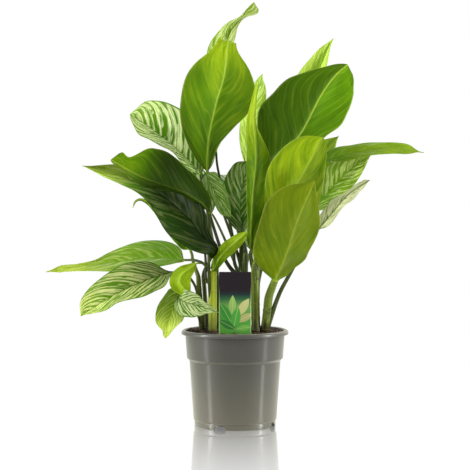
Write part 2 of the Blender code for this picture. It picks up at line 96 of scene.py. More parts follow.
# Soil
SOIL_TOP_Z = 0.1497
SOIL_DOME = 0.002
SOIL_LUMP_HEIGHT = 0.0016
SOIL_CRUMB_HEIGHT = 0.0008
SOIL_LUMPS = 95  # to a metre, and small ones
SOIL_CRUMBLES = 330
SOIL_CLEARANCE = 0.0003
SOIL_GAP = WALL + SOIL_CLEARANCE  # from the pot's outside to the soil
SOIL_RINGS = 44
SOIL_STEPS = 120
CRUMB_STRETCH = 1.45  # how much longer than wide a crumb is
CRUMB_SIZES = (0.35, 1.5)  # the smallest and largest, as parts of the middling one
CRUMB_TILT = 1.2  # in radians
CRUMB_ROUGHNESS = 620.0  # bumps to a metre

# Plant card
CARD_WIDTH = 0.050
CARD_TOP_Z = 0.2483
CARD_FOOT_Z = 0.1505
CARD_CORNER = 0.0015
CARD_CORNER_STEPS = 8
CARD_Y = -0.064
CARD_LEAN_DEG = 1.5
CARD_CUTS = (-0.018, -0.012, -0.006, 0.0, 0.006, 0.012, 0.018)  # upright cuts that let the card bow
CARD_EDGE_HIGHLIGHT = (0.0007, 0.0013)  # a painted highlight along the card's sides, where its edges catch the light, fades in between these distances from the side
STAKE_WIDTH = 0.030
STAKE_DEPTH = 0.045
STAKE_POINT = 0.025

# Leaves
BLADE_RINGS = 56
HALF_CELLS = 11  # cells across each half of a blade
STALK_RING_SPACING = 0.0045
STALK_FOOT_RADIUS = (0.0014, 0.035)  # a fixed part, and a part of the blade's mean half width
STALK_END_RADIUS = (0.0009, 0.026)
SHEATH_LENGTH = 0.016  # how far below its free foot a stalk clasps its cane
BASE_ROUNDING = 0.62
TIP_TAPER = 1.25
TIP_HALF_WIDTH = 0.0005
FULL_HALF_WIDTH = 0.03  # from this half width up, a blade has its whole waves, quilting and dents
EDGE_STATIONS = (0.06, 0.16, 0.28, 0.40, 0.52, 0.64, 0.76, 0.87, 0.95, 0.985)  # parts of the blade's length
START_WIDTH = 0.03  # an edge's width at the blade's base and tip, as a part of its widest
END_WIDTH = 0.01
COLOUR_STATIONS = (0.10, 0.50, 0.90)
RIGHT_VEIN_OFFSET = 0.43  # how far ahead of the left half's the right half's side veins stand
VEIN_CROWDING = 0.92  # their count grows by this power of the length, so they stand closest at the base
VEIN_BEND = 0.25  # the part of a side vein's slant that comes only near the edge
VEIN_BEND_POWER = 2.5
TURN = 6.283  # once round, in radians
BULGE = 0.06  # how far each half arches up, as a part of its width
WAVES_ALONG_EDGE = (1.6, 3.2)  # the fewest and the most
WAVE_POWER = 2.4  # how steeply the waves grow towards the edge
DENTS_ALONG_BLADE = 5.0
DENTS_ACROSS_HALF = 2.2
CELL_CROWDING = 1.45  # how much closer the cells stand by the midrib than at the edge
EDGE_THINNING = 0.6
RIB_SPREAD = 0.0016  # how far to each side the midrib thickens the blade
CLASP_REACH = (0.30, 0.75)  # how far out in its cane a side stalk starts and parts, in the cane's radius
CLASP_PART = 0.35  # the part of its stalk's length in which a clasping foot narrows
CLASP_WIDENING = 0.35  # how much wider, and flatter, a clasping foot is than a round one
CLASP_FLATTENING = 0.15
SHEATH_PART = 0.7  # the usual part of a stalk's length in which it narrows from its cane
OVER_CANE = 1.03  # how much wider than its cane a sheath or a leaf scar is
STREAKS_ALONG_STALK = 6
# STALK_LIGHT is painted shade: below 1 it darkens a stalk's green as if it stood in shade
STALK_TONE = 0.2  # a stalk's usual tone and lightness
STALK_LIGHT = 0.8
CHANNEL_DEPTH = 0.35  # how deep the stalk's channel is, as a part of its radius
CURVE_SAMPLES = 16
CANE_SIDES = 28
CANE_RING_SPACING = 0.0018
CANE_ROOT_DEPTH = 0.024
CANE_DOME = 0.003  # the height over which a cane's top closes
CANE_CLOSING = 0.75  # how much of its radius it loses there
CANE_UNEVENNESS = 0.03
FIRST_SCAR = 0.006  # above the soil
LAST_SCAR = 0.004  # below a cane's top
SCAR_SPACING_RANGE = (0.7, 1.9)
SCAR_SWELL = 0.05  # how much a cane swells at a scar, and how far above and below
SCAR_SPREAD = 0.0016
SCAR_TILT = 0.2  # in radians
SCAR_SIDES = 8
USUAL_CANE_RADIUS = 0.006

# Studio
FLOOR_HALF = 9.0
FLOOR_DROP = 0.0002  # below the pot's foot, so that the two faces don't meet
CAMERA_PLACE = (0.0, -3.0, 0.44)
CAMERA_TILT_DEG = 2.62
SENSOR_WIDTH_MM = 36.0

# Each cane: its foot in the soil (x, y), its top (x, y, z) and its radius at foot and top, in mm, then how
# far its green is from shaded and old, 0, to young, 1.
CANES = {
    "front": ((-35.5, -31), (-35, -32, 249), 5.2, 5, 0.86),
    "front_inner": ((-27.5, -21), (-30, -14, 258), 4.6, 3.8, 0),
    "left": ((-52, -8), (-58, -5, 236), 5, 3.8, 0.22),
    "left_inner": ((-44, 6), (-50, 4, 238), 4.2, 3.4, 0.12),
    "middle": ((33, -30), (31, -29, 250), 7.2, 6.2, 0.36),
    "right": ((46, -27), (53, -41, 208), 5.2, 5.2, 0.34),
    "centre": ((13, 4), (17, 4, 275), 5.4, 4.4, 0),
    "back": ((8, 40), (12, 46, 285), 6.2, 5, 0),
    "back_right": ((33, 34), (36, 42, 262), 6, 4.8, 0.05),
}

# Canes that are stouter than their plain solids in the model, by this much.
CANE_GIRTH = {"front": 1.35, "right": 1.25}

# Each leaf, in mm: the cane that bears it and the height of its foot there (or "top"), the points of its
# stalk up to the blade, the points of its midrib from base to tip, and, at the widest place, the steps from
# the midrib to the left and right edges, as seen on the upper face with the tip ahead.
# widest is that place as a part of the blade's length, and taper shapes the tip.
# left_edge and right_edge give an edge's width at EDGE_STATIONS instead, and base where the blade starts.
# tone is the green, from full grown, 0, to very young, 1.5. pale is how strong the stripes are above, or how
# far they show through below. light is painted light and shade: the lightness of the left and right halves,
# lit or shaded, and edge_light is painted light that makes the left edge lighter by this much. Each of the
# first three is one number, or one each for the blade's base, middle and tip. warm turns the green to olive.
# stalk_tone is the stalk's own green and stalk_light its painted shade, and stout scales its thickness.
# sheath is the part of it that narrows from its cane, and neck the part of that girth which is left at the
# blade.
# sweep and veins scale the slant of the side veins and their number.
LEAVES = {
    "tall_front": dict(
        cane="front_inner", foot="top",
        stalk=[(-35, -7, 286), (-40, 0, 316), (-44, 3, 350), (-44, -2, 404)],
        rib=[(-41, -22, 455), (-30, -45, 506), (-17, -62, 550), (-11, -70, 596), (-9, -56, 607),
             (-8, -40, 594), (-9, -34, 572)],
        left=(56, 14, -10), right=(-55, 10, 8), widest=0.42,
        left_edge=(0.13, 0.27, 0.62, 0.92, 0.97, 0.67, 0.25, 0.2, 0.12, 0.05),
        right_edge=(0.32, 0.62, 0.89, 1, 1.02, 0.86, 0.38, 0.25, 0.12, 0.04),
        tone=(0.4, 0.55, 0.95), pale=0.35, stalk_tone=0.12, light=((0.72, 0.85, 1.1), (0.66, 0.95, 1.05))),
    "tall_back": dict(
        cane="back", foot=238, stalk=[(-1, 38, 258), (-4, 36, 300), (-24, 30, 390), (-30, 20, 436)],
        rib=[(-28, 17, 520), (-24, 15, 560), (-16, 14, 598), (-5, 14, 627), (8, 14, 643), (21, 15, 660),
             (30, 15, 671)],
        left=(-30, -10, 8), right=(26, -20, -8), widest=0.46,
        left_edge=(0.3, 0.45, 0.55, 0.64, 0.74, 0.84, 0.5, 0.12, 0.06, 0.03),
        right_edge=(0.3, 0.5, 0.55, 0.5, 0.46, 0.42, 0.3, 0.12, 0.6, 0.45),
        tone=0.9, pale=1.4, stalk_tone=0, stalk_light=0.7, light=((1.25, 1.2, 1), (1.25, 1.2, 0.75))),
    "upper_left": dict(
        cane="back", foot=232, stalk=[(-9, 42, 250), (-22, 40, 276), (-44, 38, 346), (-56, 12, 398)],
        rib=[(-87, 8, 433), (-127, 12, 466), (-167, 15, 494)],
        left=(-12, -38, -15), right=(35, 6, 41), widest=0.52,
        left_edge=(0.3, 0.44, 0.43, 0.43, 0.62, 0.79, 0.88, 0.57, 0.33, 0.11),
        right_edge=(0.35, 0.63, 0.84, 0.96, 1.01, 0.98, 0.89, 0.73, 0.53, 0.18),
        tone=(0.45, 0.4, 0.6), pale=(0.85, 1, 1.2), stalk_tone=0, stalk_light=0.7, light=(1.1, 1.15),
        sweep=0.6, veins=1.2),
    "shaded_left": dict(
        cane="front", foot=214,
        stalk=[(-40.5, -37.5, 236), (-41, -39, 262), (-41, -40, 300), (-42, -40, 342)],
        rib=[(-70, -50, 367), (-98, -60, 379), (-144, -70, 396), (-192, -72, 422)],
        left=(14, 15, 47), right=(-6, 28, -19), widest=0.5,
        left_edge=(0.31, 0.49, 0.67, 0.86, 1, 1, 0.88, 0.37, 0.38, 0.14),
        right_edge=(0.25, 0.3, 0.3, 0.42, 0.62, 0.62, 0.45, 0.3, 0.2, 0.12),
        tone=(0.2, 0.2, 0.6), pale=0.25, stalk_tone=0.12, light=((0.52, 0.3, 0.95), (0.4, 0.25, 0.7))),
    "long_left": dict(
        cane="left_inner", foot="top", stalk=[(-46, -10, 252), (-37, -34, 268)],
        rib=[(-30, -46, 284), (-52, -52, 304), (-74, -42, 333), (-119, -14, 369), (-182, 4, 396),
             (-242, 6, 412)],
        left=(-14, -26, -26), right=(22, 8, 38), widest=0.42,
        left_edge=(0.34, 0.76, 1.15, 1.02, 0.74, 0.48, 0.4, 0.28, 0.1, 0.01),
        right_edge=(0.08, 0.25, 0.6, 0.83, 0.81, 0.69, 0.49, 0.26, 0.09, 0.03),
        tone=(0.05, 0.12, 0.95), pale=(0.2, 0.3, 0.5), warm=0.2, stalk_tone=0.1, stalk_light=0.7,
        light=((0.28, 0.4, 0.8), (0.22, 0.22, 0.5)), edge_light=1.5),
    "hooked_left": dict(
        cane="left", foot="top", stalk=[(-61.5, 2, 246), (-67, 6, 262), (-72, 12, 279)],
        rib=[(-100, 12, 308), (-119, 15, 334), (-135, 18, 350), (-149, 20, 358), (-158, 21, 355),
             (-163, 22, 345)],
        left=(20, 12, 28), right=(-16, 4, -20), widest=0.42,
        left_edge=(0.45, 0.65, 0.7, 0.62, 0.5, 0.36, 0.14, 0.07, 0.05, 0.02),
        right_edge=(0.35, 0.35, 0.32, 0.28, 0.25, 0.2, 0.1, 0.06, 0.04, 0.02),
        tone=(0.4, 0.5, 0.7), pale=0.3, stalk_tone=0.3, stalk_light=0.9, stout=1.3),
    "low_left": dict(
        cane="front", foot=243, stalk=[(-48, -26, 258), (-64, -18, 264), (-82, 4, 263)],
        rib=[(-136, 24, 265), (-215, 22, 255), (-300, 0, 244)],
        left=(0, -38, -15), right=(0, 34, 27), widest=0.3, taper=1.5,
        right_edge=(0.5, 0.88, 0.98, 0.9, 0.63, 0.23, 0.23, 0.29, 0.09, 0.03),
        tone=(0.5, 0.6, 1), pale=(0.25, 0.4, 0.5), warm=0.6, stalk_tone=0.12, light=(1.15, 1.15),
        veins=1.3),
    "lower_left": dict(
        cane="left", foot=200, stalk=[(-64, -20, 226), (-80, -28, 245), (-97, -34, 246)],
        rib=[(-140, -46, 233), (-187, -54, 212), (-240, -60, 179)],
        left=(10, -34, -18), right=(-16, 12, 31), widest=0.5,
        left_edge=(0.32, 0.88, 0.92, 0.91, 0.77, 0.62, 0.61, 0.33, 0.1, 0.03),
        right_edge=(0.17, 0.7, 0.92, 1.04, 1.03, 0.97, 0.87, 0.69, 0.45, 0.15),
        tone=(0.1, 0.3, 0.6), pale=(0.45, 0.6, 0.8), warm=0.8, light=(1.2, (0.9, 1.1, 1.15)), veins=1.3),
    "small_folded": dict(
        cane="front", foot=236, stalk=[(-42, -40, 252), (-51, -45, 260.5), (-60, -48, 260)],
        rib=[(-65, -50, 257), (-74, -57, 251.5), (-83.3, -62, 243), (-86, -66, 233), (-80, -68, 223.4),
             (-70, -68, 214)],
        left=(-16, 3, -1), right=(17, 3, 1), widest=0.45,
        left_edge=(0.35, 0.6, 0.75, 0.85, 0.95, 1, 0.85, 0.6, 0.3, 0.12),
        right_edge=(0.3, 0.5, 0.7, 0.85, 1, 1.05, 0.95, 0.7, 0.35, 0.12),
        tone=0.8, pale=0.2, stalk_tone=0.12),
    "hanging_left": dict(
        cane="left", foot=178, stalk=[(-66, -6, 200), (-74, -10, 217), (-83, -15, 216)],
        rib=[(-95, -28, 194), (-104, -40, 169), (-109, -46, 143)],
        left=(18, -12, -6), right=(-22, 6, 8), widest=0.5,
        left_edge=(0.37, 0.67, 0.9, 1.02, 1.05, 1.03, 0.73, 0.37, 0.18, 0.06),
        right_edge=(0.7, 0.85, 0.94, 1, 1, 0.94, 0.76, 0.27, 0.18, 0.07),
        tone=(0.6, 0.8, 1.1), pale=(0.5, 0.6, 0.7), warm=0.5, light=(1.3, 1.3)),
    "small_striped": dict(
        cane="left", foot=164, stalk=[(-64, -24, 188), (-80, -42, 211), (-87, -56, 208)],
        rib=[(-78, -68, 202), (-55, -74, 196), (-25, -76, 186)],
        left=(4, -4, 18), right=(-3, -8, -15), widest=0.36,
        left_edge=(0.51, 1.04, 1.06, 0.99, 0.82, 0.52, 0.45, 0.23, 0.03, 0.01),
        right_edge=(0.67, 0.97, 1.41, 1.31, 1.21, 0.91, 0.48, 0.27, 0.09, 0.03),
        tone=(0.3, 0.3, 0.4), pale=(0.7, 0.85, 0.85)),
    "drooping_inner": dict(
        cane="front", foot=225,
        stalk=[(-46, -33, 238), (-46, -33, 262), (-49, -32, 300), (-54, -25, 350), (-54, -20, 386),
               (-47, -22, 399)],
        rib=[(-36, -26, 380), (-20, -28, 353), (-6, -28, 331)],
        left=(16, 3, 14), right=(-20, -2, -16), widest=0.42,
        left_edge=(0.7, 0.78, 0.84, 0.79, 0.72, 0.61, 0.46, 0.3, 0.1, 0.04),
        right_edge=(0.4, 0.43, 0.48, 0.45, 0.42, 0.43, 0.45, 0.37, 0.11, 0.04),
        tone=(0.2, 0.35, 0.4), pale=(0.45, 0.5, 0.6), stalk_tone=0, stalk_light=0.7, light=(1.1, 1.1)),
    "inner": dict(
        cane="centre", foot="top", stalk=[(15, 4, 290), (11, 4, 306)],
        rib=[(8, 8, 348), (13, 14, 388), (28, 16, 424)],
        left=(-28, -8, 4), right=(24, 4, 0), widest=0.48,
        left_edge=(0.38, 0.68, 0.9, 1.02, 1.08, 1.01, 0.91, 0.72, 0.14, 0.04),
        tone=(0.1, 0.25, 0.3), pale=(0.4, 0.5, 0.5), stalk_tone=0, stalk_light=0.7, light=(0.75, 0.8)),
    "young_front": dict(
        cane="front", foot="top", stalk=[(-34.7, -32.4, 249.6)],
        rib=[(-33.5, -33, 251), (-30, -36, 258.5), (-23, -39, 270.5), (-12.5, -42, 282.5), (-1, -45, 292),
             (10, -47, 301.5), (20, -47, 310)],
        left=(5, 3, -9), right=(-5, 3, 9), widest=0.45, base=0.5,
        left_edge=(0.62, 0.8, 0.95, 1.05, 1.1, 1.05, 0.92, 0.66, 0.36, 0.16),
        right_edge=(0.62, 0.8, 0.95, 1.05, 1.1, 1.05, 0.92, 0.66, 0.36, 0.16),
        tone=(0.6, 0.75, 0.85), pale=0.25, stalk_tone=0.86, stalk_light=1, neck=0.5),
    "narrow_middle": dict(
        cane="middle", foot="top", stalk=[(27, -28, 266), (25, -33, 281)],
        rib=[(24.5, -38, 296), (28, -48, 366), (33, -60, 428), (29, -71, 482), (34, -78, 539)],
        left=(22, 10, 0), right=(-14, 8, 0), widest=0.4,
        left_edge=(0.4, 0.52, 0.89, 0.95, 1.09, 0.62, 0.18, 0.12, 0.06, 0.03),
        right_edge=(0.44, 0.46, 0.63, 0.84, 1.03, 1, 0.83, 0.53, 0.3, 0.18),
        tone=(0.4, 0.5, 1), pale=0.4, warm=0.1, stalk_tone=0.15, light=((0.65, 0.65, 1), (0.75, 0.8, 1))),
    "pale_behind": dict(
        cane="back", foot="top", stalk=[(11, 47, 345), (19, 38, 412)],
        rib=[(24, 41, 468), (33, 43, 516), (44, 43, 559)],
        left=(-18, -4, 0), right=(22, -6, 0), widest=0.5, taper=0.8,
        right_edge=(0.28, 0.51, 0.68, 0.78, 0.48, 0.68, 0.7, 0.48, 0.12, 0.04),
        tone=(1.1, 1.2, 1), pale=(1.1, 1.2, 1.1), stalk_tone=0, stalk_light=0.7, light=(1.4, 1.4)),
    "front_middle": dict(
        cane="middle", foot=232, stalk=[(28, -44, 248), (31, -47, 264)],
        rib=[(47, -57, 296), (71, -72, 339), (100, -88, 394), (134, -92, 457)],
        left=(42, 26, -24), right=(-48, 6, 28), widest=0.5,
        left_edge=(0.35, 0.63, 0.85, 0.96, 0.99, 0.83, 0.66, 0.47, 0.28, 0.17),
        right_edge=(0.18, 0.32, 0.38, 0.54, 0.78, 0.91, 0.87, 0.71, 0.45, 0.17),
        tone=(0.75, 0.8, 0.8), pale=0.45, warm=0.1, stalk_tone=0.35, stalk_light=0.9,
        light=((0.7, 0.72, 0.8), (0.86, 0.88, 1))),
    "front_right": dict(
        cane="right", foot="top", stalk=[(58, -46, 223), (64, -54, 239)],
        rib=[(78, -86, 275), (96, -112, 332), (121, -122, 391)],
        left=(36, 38, -12), right=(-54, 12, 16), widest=0.36, base=0.42,
        left_edge=(0.52, 0.8, 0.85, 0.92, 0.93, 0.86, 0.68, 0.36, 0.13, 0.04),
        right_edge=(0.72, 0.88, 0.91, 0.94, 0.95, 0.96, 0.84, 0.59, 0.22, 0.07),
        tone=(0.62, 0.6, 0.65), pale=0.15, warm=1, stalk_tone=0.4, stalk_light=1, sheath=2.6, neck=1,
        light=((0.64, 0.66, 0.7), (0.66, 0.62, 0.74))),
    "broad_right": dict(
        cane="middle", foot=240, stalk=[(40, -14, 290), (50, -10, 350), (58, -18, 417)],
        rib=[(99, -34, 458), (132, -44, 519), (155, -46, 552), (175, -46, 570)],
        left=(46, 14, -26), right=(-54, 8, 28), widest=0.56,
        left_edge=(0.24, 0.44, 0.59, 0.69, 0.93, 0.95, 0.89, 0.74, 0.55, 0.3),
        right_edge=(0.6, 1.16, 1.22, 1.23, 1.12, 0.99, 0.66, 0.34, 0.16, 0.07),
        tone=(0.3, 0.34, 0.42), pale=0.2, stalk_tone=0.3, stalk_light=0.9,
        light=((1.1, 1.4, 1.35), (0.65, 0.68, 0.75))),
    "pointed_back": dict(
        cane="back_right", foot=246, stalk=[(45, 54, 290), (56, 55, 340), (76, 46, 395), (91, 34, 436)],
        rib=[(114, 34, 500), (133, 36, 561), (157, 36, 615)],
        left=(-32, -8, 12), right=(12, -26, -4), widest=0.42,
        left_edge=(0.4, 0.72, 0.94, 1.02, 0.99, 0.84, 0.62, 0.41, 0.16, 0.05),
        tone=(1, 1.25, 1.2), pale=(0.6, 0.7, 0.7), stalk_tone=0.15, light=(1.2, 1.2)),
    "long_right": dict(
        cane="back_right", foot="top", stalk=[(60, 40, 312), (95, 30, 372), (123, 22, 407)],
        rib=[(176, 32, 429), (240, 36, 439), (302, 30, 433)],
        left=(0, 20, 22), right=(0, -20, -14), widest=0.42,
        left_edge=(0.27, 0.49, 0.69, 0.59, 0.57, 0.52, 0.46, 0.37, 0.08, 0.03),
        right_edge=(0.16, 0.16, 0.52, 0.66, 0.73, 0.61, 0.4, 0.36, 0.06, 0.02),
        tone=(0.5, 0.75, 0.85), pale=0.1, warm=0.25, stalk_tone=0.15, light=((1, 1.1, 1.1), (0.9, 1, 1))),
    "striped_right": dict(
        cane="back_right", foot=252, stalk=[(62, 46, 276), (100, 40, 312), (128, 37, 341)],
        rib=[(142, 40, 360), (170, 44, 392), (196, 46, 414), (217, 46, 428)],
        left=(-14, 6, 18), right=(14, -10, -15), widest=0.5,
        left_edge=(0.6, 0.9, 1, 1.05, 1.25, 1.18, 0.92, 0.62, 0.43, 0.2),
        right_edge=(0.5, 0.72, 0.85, 1, 1.09, 1.05, 0.79, 0.48, 0.19, 0.06),
        tone=(0.55, 0.65, 0.75), pale=(0.5, 0.65, 0.75), warm=0.3, stalk_tone=0.15, light=(1.3, 1.4)),
    "olive_right": dict(
        cane="right", foot=163, stalk=[(69, -22, 209), (84, -20, 238), (108, -14, 280), (132, -20, 313)],
        rib=[(154, -26, 340), (177, -30, 367), (211, -30, 390)],
        left=(-13, 14, 13), right=(6, 20, -7), widest=0.42,
        left_edge=(0.37, 0.65, 0.78, 0.76, 0.53, 0.34, 0.3, 0.31, 0.25, 0.09),
        right_edge=(1, 1.2, 1, 1, 1.18, 1.32, 1.22, 0.72, 0.1, 0.02),
        tone=(0.35, 0.3, 0.2), pale=(2.8, 3, 3), warm=0.3, stalk_tone=0.05, stout=1.7, light=(0.78, 0.8)),
    "tip_behind": dict(
        cane="back_right", foot=250, stalk=[(66, 60, 284), (104, 82, 340), (114, 92, 376)],
        rib=[(132, 96, 412), (150, 94, 440), (169, 88, 460)],
        left=(-20, -4, 14), right=(16, -12, -12), widest=0.45,
        tone=1, pale=0.3, stalk_tone=0.15),
    "rear_left": dict(
        cane="back", foot=230, stalk=[(-6, 64, 268), (-38, 76, 335)],
        rib=[(-82, 120, 385), (-112, 176, 402), (-132, 218, 388)],
        left=(-26, -18, 18), right=(26, 14, 22), widest=0.42,
        tone=0.3, pale=0.8),
    "rear_middle": dict(
        cane="back", foot=272, stalk=[(6, 62, 300), (2, 80, 338)],
        rib=[(2, 118, 378), (4, 168, 392), (4, 212, 380)],
        left=(-42, 4, 6), right=(40, 4, 8), widest=0.45,
        tone=0.25, pale=0.85),
    "rear_right": dict(
        cane="back_right", foot=214, stalk=[(44, 68, 250), (54, 90, 312)],
        rib=[(86, 134, 372), (112, 172, 392), (132, 206, 380)],
        left=(-24, 14, 20), right=(28, -16, 14), widest=0.42,
        tone=0.3, pale=0.75),
    "rear_upper_left": dict(
        cane="back", foot=258, stalk=[(-8, 52, 306), (-34, 66, 374), (-44, 72, 404)],
        rib=[(-66, 104, 442), (-82, 142, 458), (-95, 176, 452)],
        left=(-26, -14, 20), right=(28, 8, 18), widest=0.45,
        tone=0.35, pale=0.9),
    "rear_upper_right": dict(
        cane="back_right", foot=232, stalk=[(26, 64, 266), (44, 74, 334), (68, 84, 396)],
        rib=[(92, 122, 448), (106, 160, 466), (118, 194, 462)],
        left=(-26, 12, 20), right=(28, -10, 18), widest=0.45,
        tone=0.3, pale=0.85),
    "rear_low": dict(
        cane="back", foot=240, stalk=[(20, 66, 256), (26, 80, 276)],
        rib=[(34, 124, 300), (48, 170, 300), (60, 218, 276)],
        left=(-32, 8, 12), right=(34, -6, 8), widest=0.42,
        tone=0.4, pale=0.8),
    "rear_lowest": dict(
        cane="back", foot=180, stalk=[(7, 64, 206), (6, 76, 221)],
        rib=[(4, 112, 228), (8, 148, 216), (10, 180, 190)],
        left=(-28, 0, 8), right=(28, 2, 6), widest=0.42,
        tone=0.5, pale=0.7),
}

# Leaves named plain: seat is handed the slot name plain_leaf for these and striped_leaf for the others.
PLAIN = {
    "broad_right", "front_middle", "front_right", "hooked_left", "long_right", "narrow_middle",
    "shaded_left", "small_folded", "tall_front", "young_front",
}


# --- small tools -------------------------------------------------------------------------------------------

def linear(hex_colour):
    """An sRGB hex colour as the linear RGBA that Blender's sockets take."""
    channels = [int(hex_colour[k:k + 2], 16) / 255 for k in (1, 3, 5)]
    return (*(c / 12.92 if c <= 0.04045 else ((c + 0.055) / 1.055) ** 2.4 for c in channels), 1.0)


def shade(colour, factor):
    """A linear colour made lighter or darker, with its alpha."""
    return (*(factor * channel for channel in colour), 1.0)


def add_node(tree, kind, inputs=None, **settings):
    """Adds a node, gives it its settings, and sets its inputs, named or numbered, each to a value or to a
    link from a socket or from a node's first output."""
    node = tree.nodes.new(kind)
    for name, value in settings.items():
        setattr(node, name, value)
    for key, value in (inputs or {}).items():
        if isinstance(value, bpy.types.Node):
            value = value.outputs[0]
        if isinstance(value, bpy.types.NodeSocket):
            tree.links.new(value, node.inputs[key])
        else:
            node.inputs[key].default_value = value
    return node


def fill_ramp(node, stops):
    """Gives a colour ramp its stops from 0 to 1, each a place and a linear colour."""
    steps = node.color_ramp.elements
    for place, _ in stops[1:-1]:
        steps.new(place)
    for step, (_, colour) in zip(steps, stops):
        step.color = colour
    return node


def new_material(name):
    """An empty material, and the function that adds a node to it."""
    made = bpy.data.materials.new(name)
    made.use_nodes = True
    made.node_tree.nodes.clear()
    return made, partial(add_node, made.node_tree)


def new_object(name, data):
    """An object in the scene that shows this mesh, lamp or camera."""
    obj = bpy.data.objects.new(name, data)
    bpy.context.scene.collection.objects.link(obj)
    return obj


def mesh_object(name, points, faces):
    """A mesh object whose faces point outwards, at the origin."""
    mesh = bpy.data.meshes.new(name)
    mesh.from_pydata([tuple(point) for point in points], [], faces)
    turn_outwards(mesh)
    return new_object(name, mesh)


def drawn_object(name, bm):
    """A mesh object with what is drawn in bm, which is freed."""
    mesh = bpy.data.meshes.new(name)
    bm.to_mesh(mesh)
    bm.free()
    return new_object(name, mesh)


def turn_outwards(mesh):
    bm = bmesh.new()
    bm.from_mesh(mesh)
    bmesh.ops.recalc_face_normals(bm, faces=bm.faces)
    bm.to_mesh(mesh)
    bm.free()


def smooth(obj, degrees):
    """Shades obj smooth, with a hard edge wherever two faces turn by more than this."""
    obj.data.shade_smooth()
    obj.data.set_sharp_from_angle(angle=math.radians(degrees))


def set_attribute(mesh, name, values):
    mesh.attributes.new(name, "FLOAT", "POINT").data.foreach_set("value", values)


def made_plain(obj):
    """Turns an object's modifiers into its own mesh."""
    depsgraph = bpy.context.evaluated_depsgraph_get()
    mesh = bpy.data.meshes.new_from_object(obj.evaluated_get(depsgraph), depsgraph=depsgraph)
    obj.modifiers.clear()
    old = obj.data
    obj.data = mesh
    bpy.data.meshes.remove(old)
    mesh.name = obj.name


def seat(obj, slot, *nodes):
    """A finished piece rides on the plant's one body and stands for CAD nodes, which it hides. slot is not
    used.
    """
    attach(obj, BODY)
    if nodes:
        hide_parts(*nodes)


def catmull_rom(points):
    """Points close together along a smooth curve through the given ones."""
    ends = [2 * points[0] - points[1], *points, 2 * points[-1] - points[-2]]
    fine = []
    for a, b, c, d in zip(ends, ends[1:], ends[2:], ends[3:]):
        for k in range(CURVE_SAMPLES):
            t = k / CURVE_SAMPLES
            fine.append(0.5 * (2 * b + (c - a) * t + (2 * a - 5 * b + 4 * c - d) * t**2
                               + (3 * b - a - 3 * c + d) * t**3))
    fine.append(points[-1])
    return fine


def spaced(fine, count):
    """count points at even distances along a fine line of points."""
    lengths = [0.0]
    for first, second in zip(fine, fine[1:]):
        lengths.append(lengths[-1] + (second - first).length)
    result = []
    segment = 0
    for k in range(count):
        wanted = lengths[-1] * k / (count - 1)
        while segment < len(fine) - 2 and lengths[segment + 1] < wanted:
            segment += 1
        span = max(lengths[segment + 1] - lengths[segment], 1e-9)
        result.append(fine[segment].lerp(fine[segment + 1], (wanted - lengths[segment]) / span))
    return result


def ease(value, low, high):
    """0 up to low, 1 from high, and a smooth climb between."""
    part = min(max((value - low) / (high - low), 0.0), 1.0)
    return part * part * (3 - 2 * part)


def loft_faces(rows, columns):
    """The faces of a closed skin over rows of points, with its two end caps."""
    faces = []
    for row in range(rows - 1):
        for k in range(columns):
            after = (k + 1) % columns
            faces.append((row * columns + k, row * columns + after,
                          (row + 1) * columns + after, (row + 1) * columns + k))
    faces.append(tuple(reversed(range(columns))))
    faces.append(tuple(range((rows - 1) * columns, rows * columns)))
    return faces


def cane_centre(cane, height):
    """The cane's centre and radius at a height, all in metres."""
    (foot_x, foot_y), (top_x, top_y, top_z), foot_radius, top_radius, _ = CANES[cane]
    part = (height - SOIL_TOP_Z) / (top_z * MM - SOIL_TOP_Z)
    centre = Vector((foot_x + (top_x - foot_x) * part, foot_y + (top_y - foot_y) * part, 0.0)) * MM
    centre.z = height
    return centre, CANE_GIRTH.get(cane, 1.0) * (foot_radius + (top_radius - foot_radius) * part) * MM


# --- settings ----------------------------------------------------------------------------------------------

def colour_setting(name, description, hex_colour):
    return bpy.props.FloatVectorProperty(
        name=name, description=description, default=linear(hex_colour)[:3], min=0.0, max=1.0,
        subtype="COLOR")


def length_setting(name, description, default, low, high):
    return bpy.props.FloatProperty(
        name=name, description=description, default=default, min=low, max=high, unit="LENGTH")


def power_setting(name, description, default):
    return bpy.props.FloatProperty(
        name=name, description=description, default=default, min=0.0, unit="POWER")


class PotSettings(bpy.types.PropertyGroup):
    steps: bpy.props.IntProperty(
        name="Turning steps", description="Points round the turned pot", default=160, min=48, max=256)
    fillet: length_setting("Corner round", "Radius of the moulding's small rounds", 0.0009, 0.0001, 0.003)
    plastic: colour_setting("Plastic", "Colour of the recycled polypropylene", "#494637")
    sheen_roughness: bpy.props.FloatProperty(
        name="Roughness", description="How dull the moulded skin is", default=0.46, min=0.0, max=1.0,
        subtype="FACTOR")


class SoilSettings(bpy.types.PropertyGroup):
    peat: colour_setting("Peat", "Colour of the damp peat", "#241a13")
    bark: colour_setting("Bark", "Colour of the bark chips", "#4d3827")
    crumb: length_setting("Crumb size", "Radius of a middling crumb of peat", 0.0015, 0.0005, 0.006)
    crumbs: bpy.props.FloatProperty(
        name="Crumbs", description="Crumbs on a square metre of soil", default=150000.0, min=0.0)
    chip: length_setting("Chip size", "Half the length of a middling bark chip", 0.0030, 0.0005, 0.01)
    chips: bpy.props.FloatProperty(
        name="Chips", description="Bark chips on a square metre of soil", default=16000.0, min=0.0)


class CardSettings(bpy.types.PropertyGroup):
    thickness: length_setting("Thickness", "Thickness of the printed plastic card", 0.0006, 0.0002, 0.002)
    bow: length_setting("Bow", "How far the card's middle stands forward of its sides", 0.0008, 0.0, 0.003)


class CaneSettings(bpy.types.PropertyGroup):
    scar_spacing: length_setting("Scar spacing", "Distance between leaf scars up a cane", 0.024, 0.004, 0.05)
    scar_height: length_setting("Scar ridge", "How far a leaf scar's ridge stands out", 0.0003, 0.0, 0.002)
    bark: colour_setting("Bark", "Colour of the skin where it has browned by the soil", "#2c2212")
    scar: colour_setting("Scar", "Colour of the leaf scars", "#66552a")


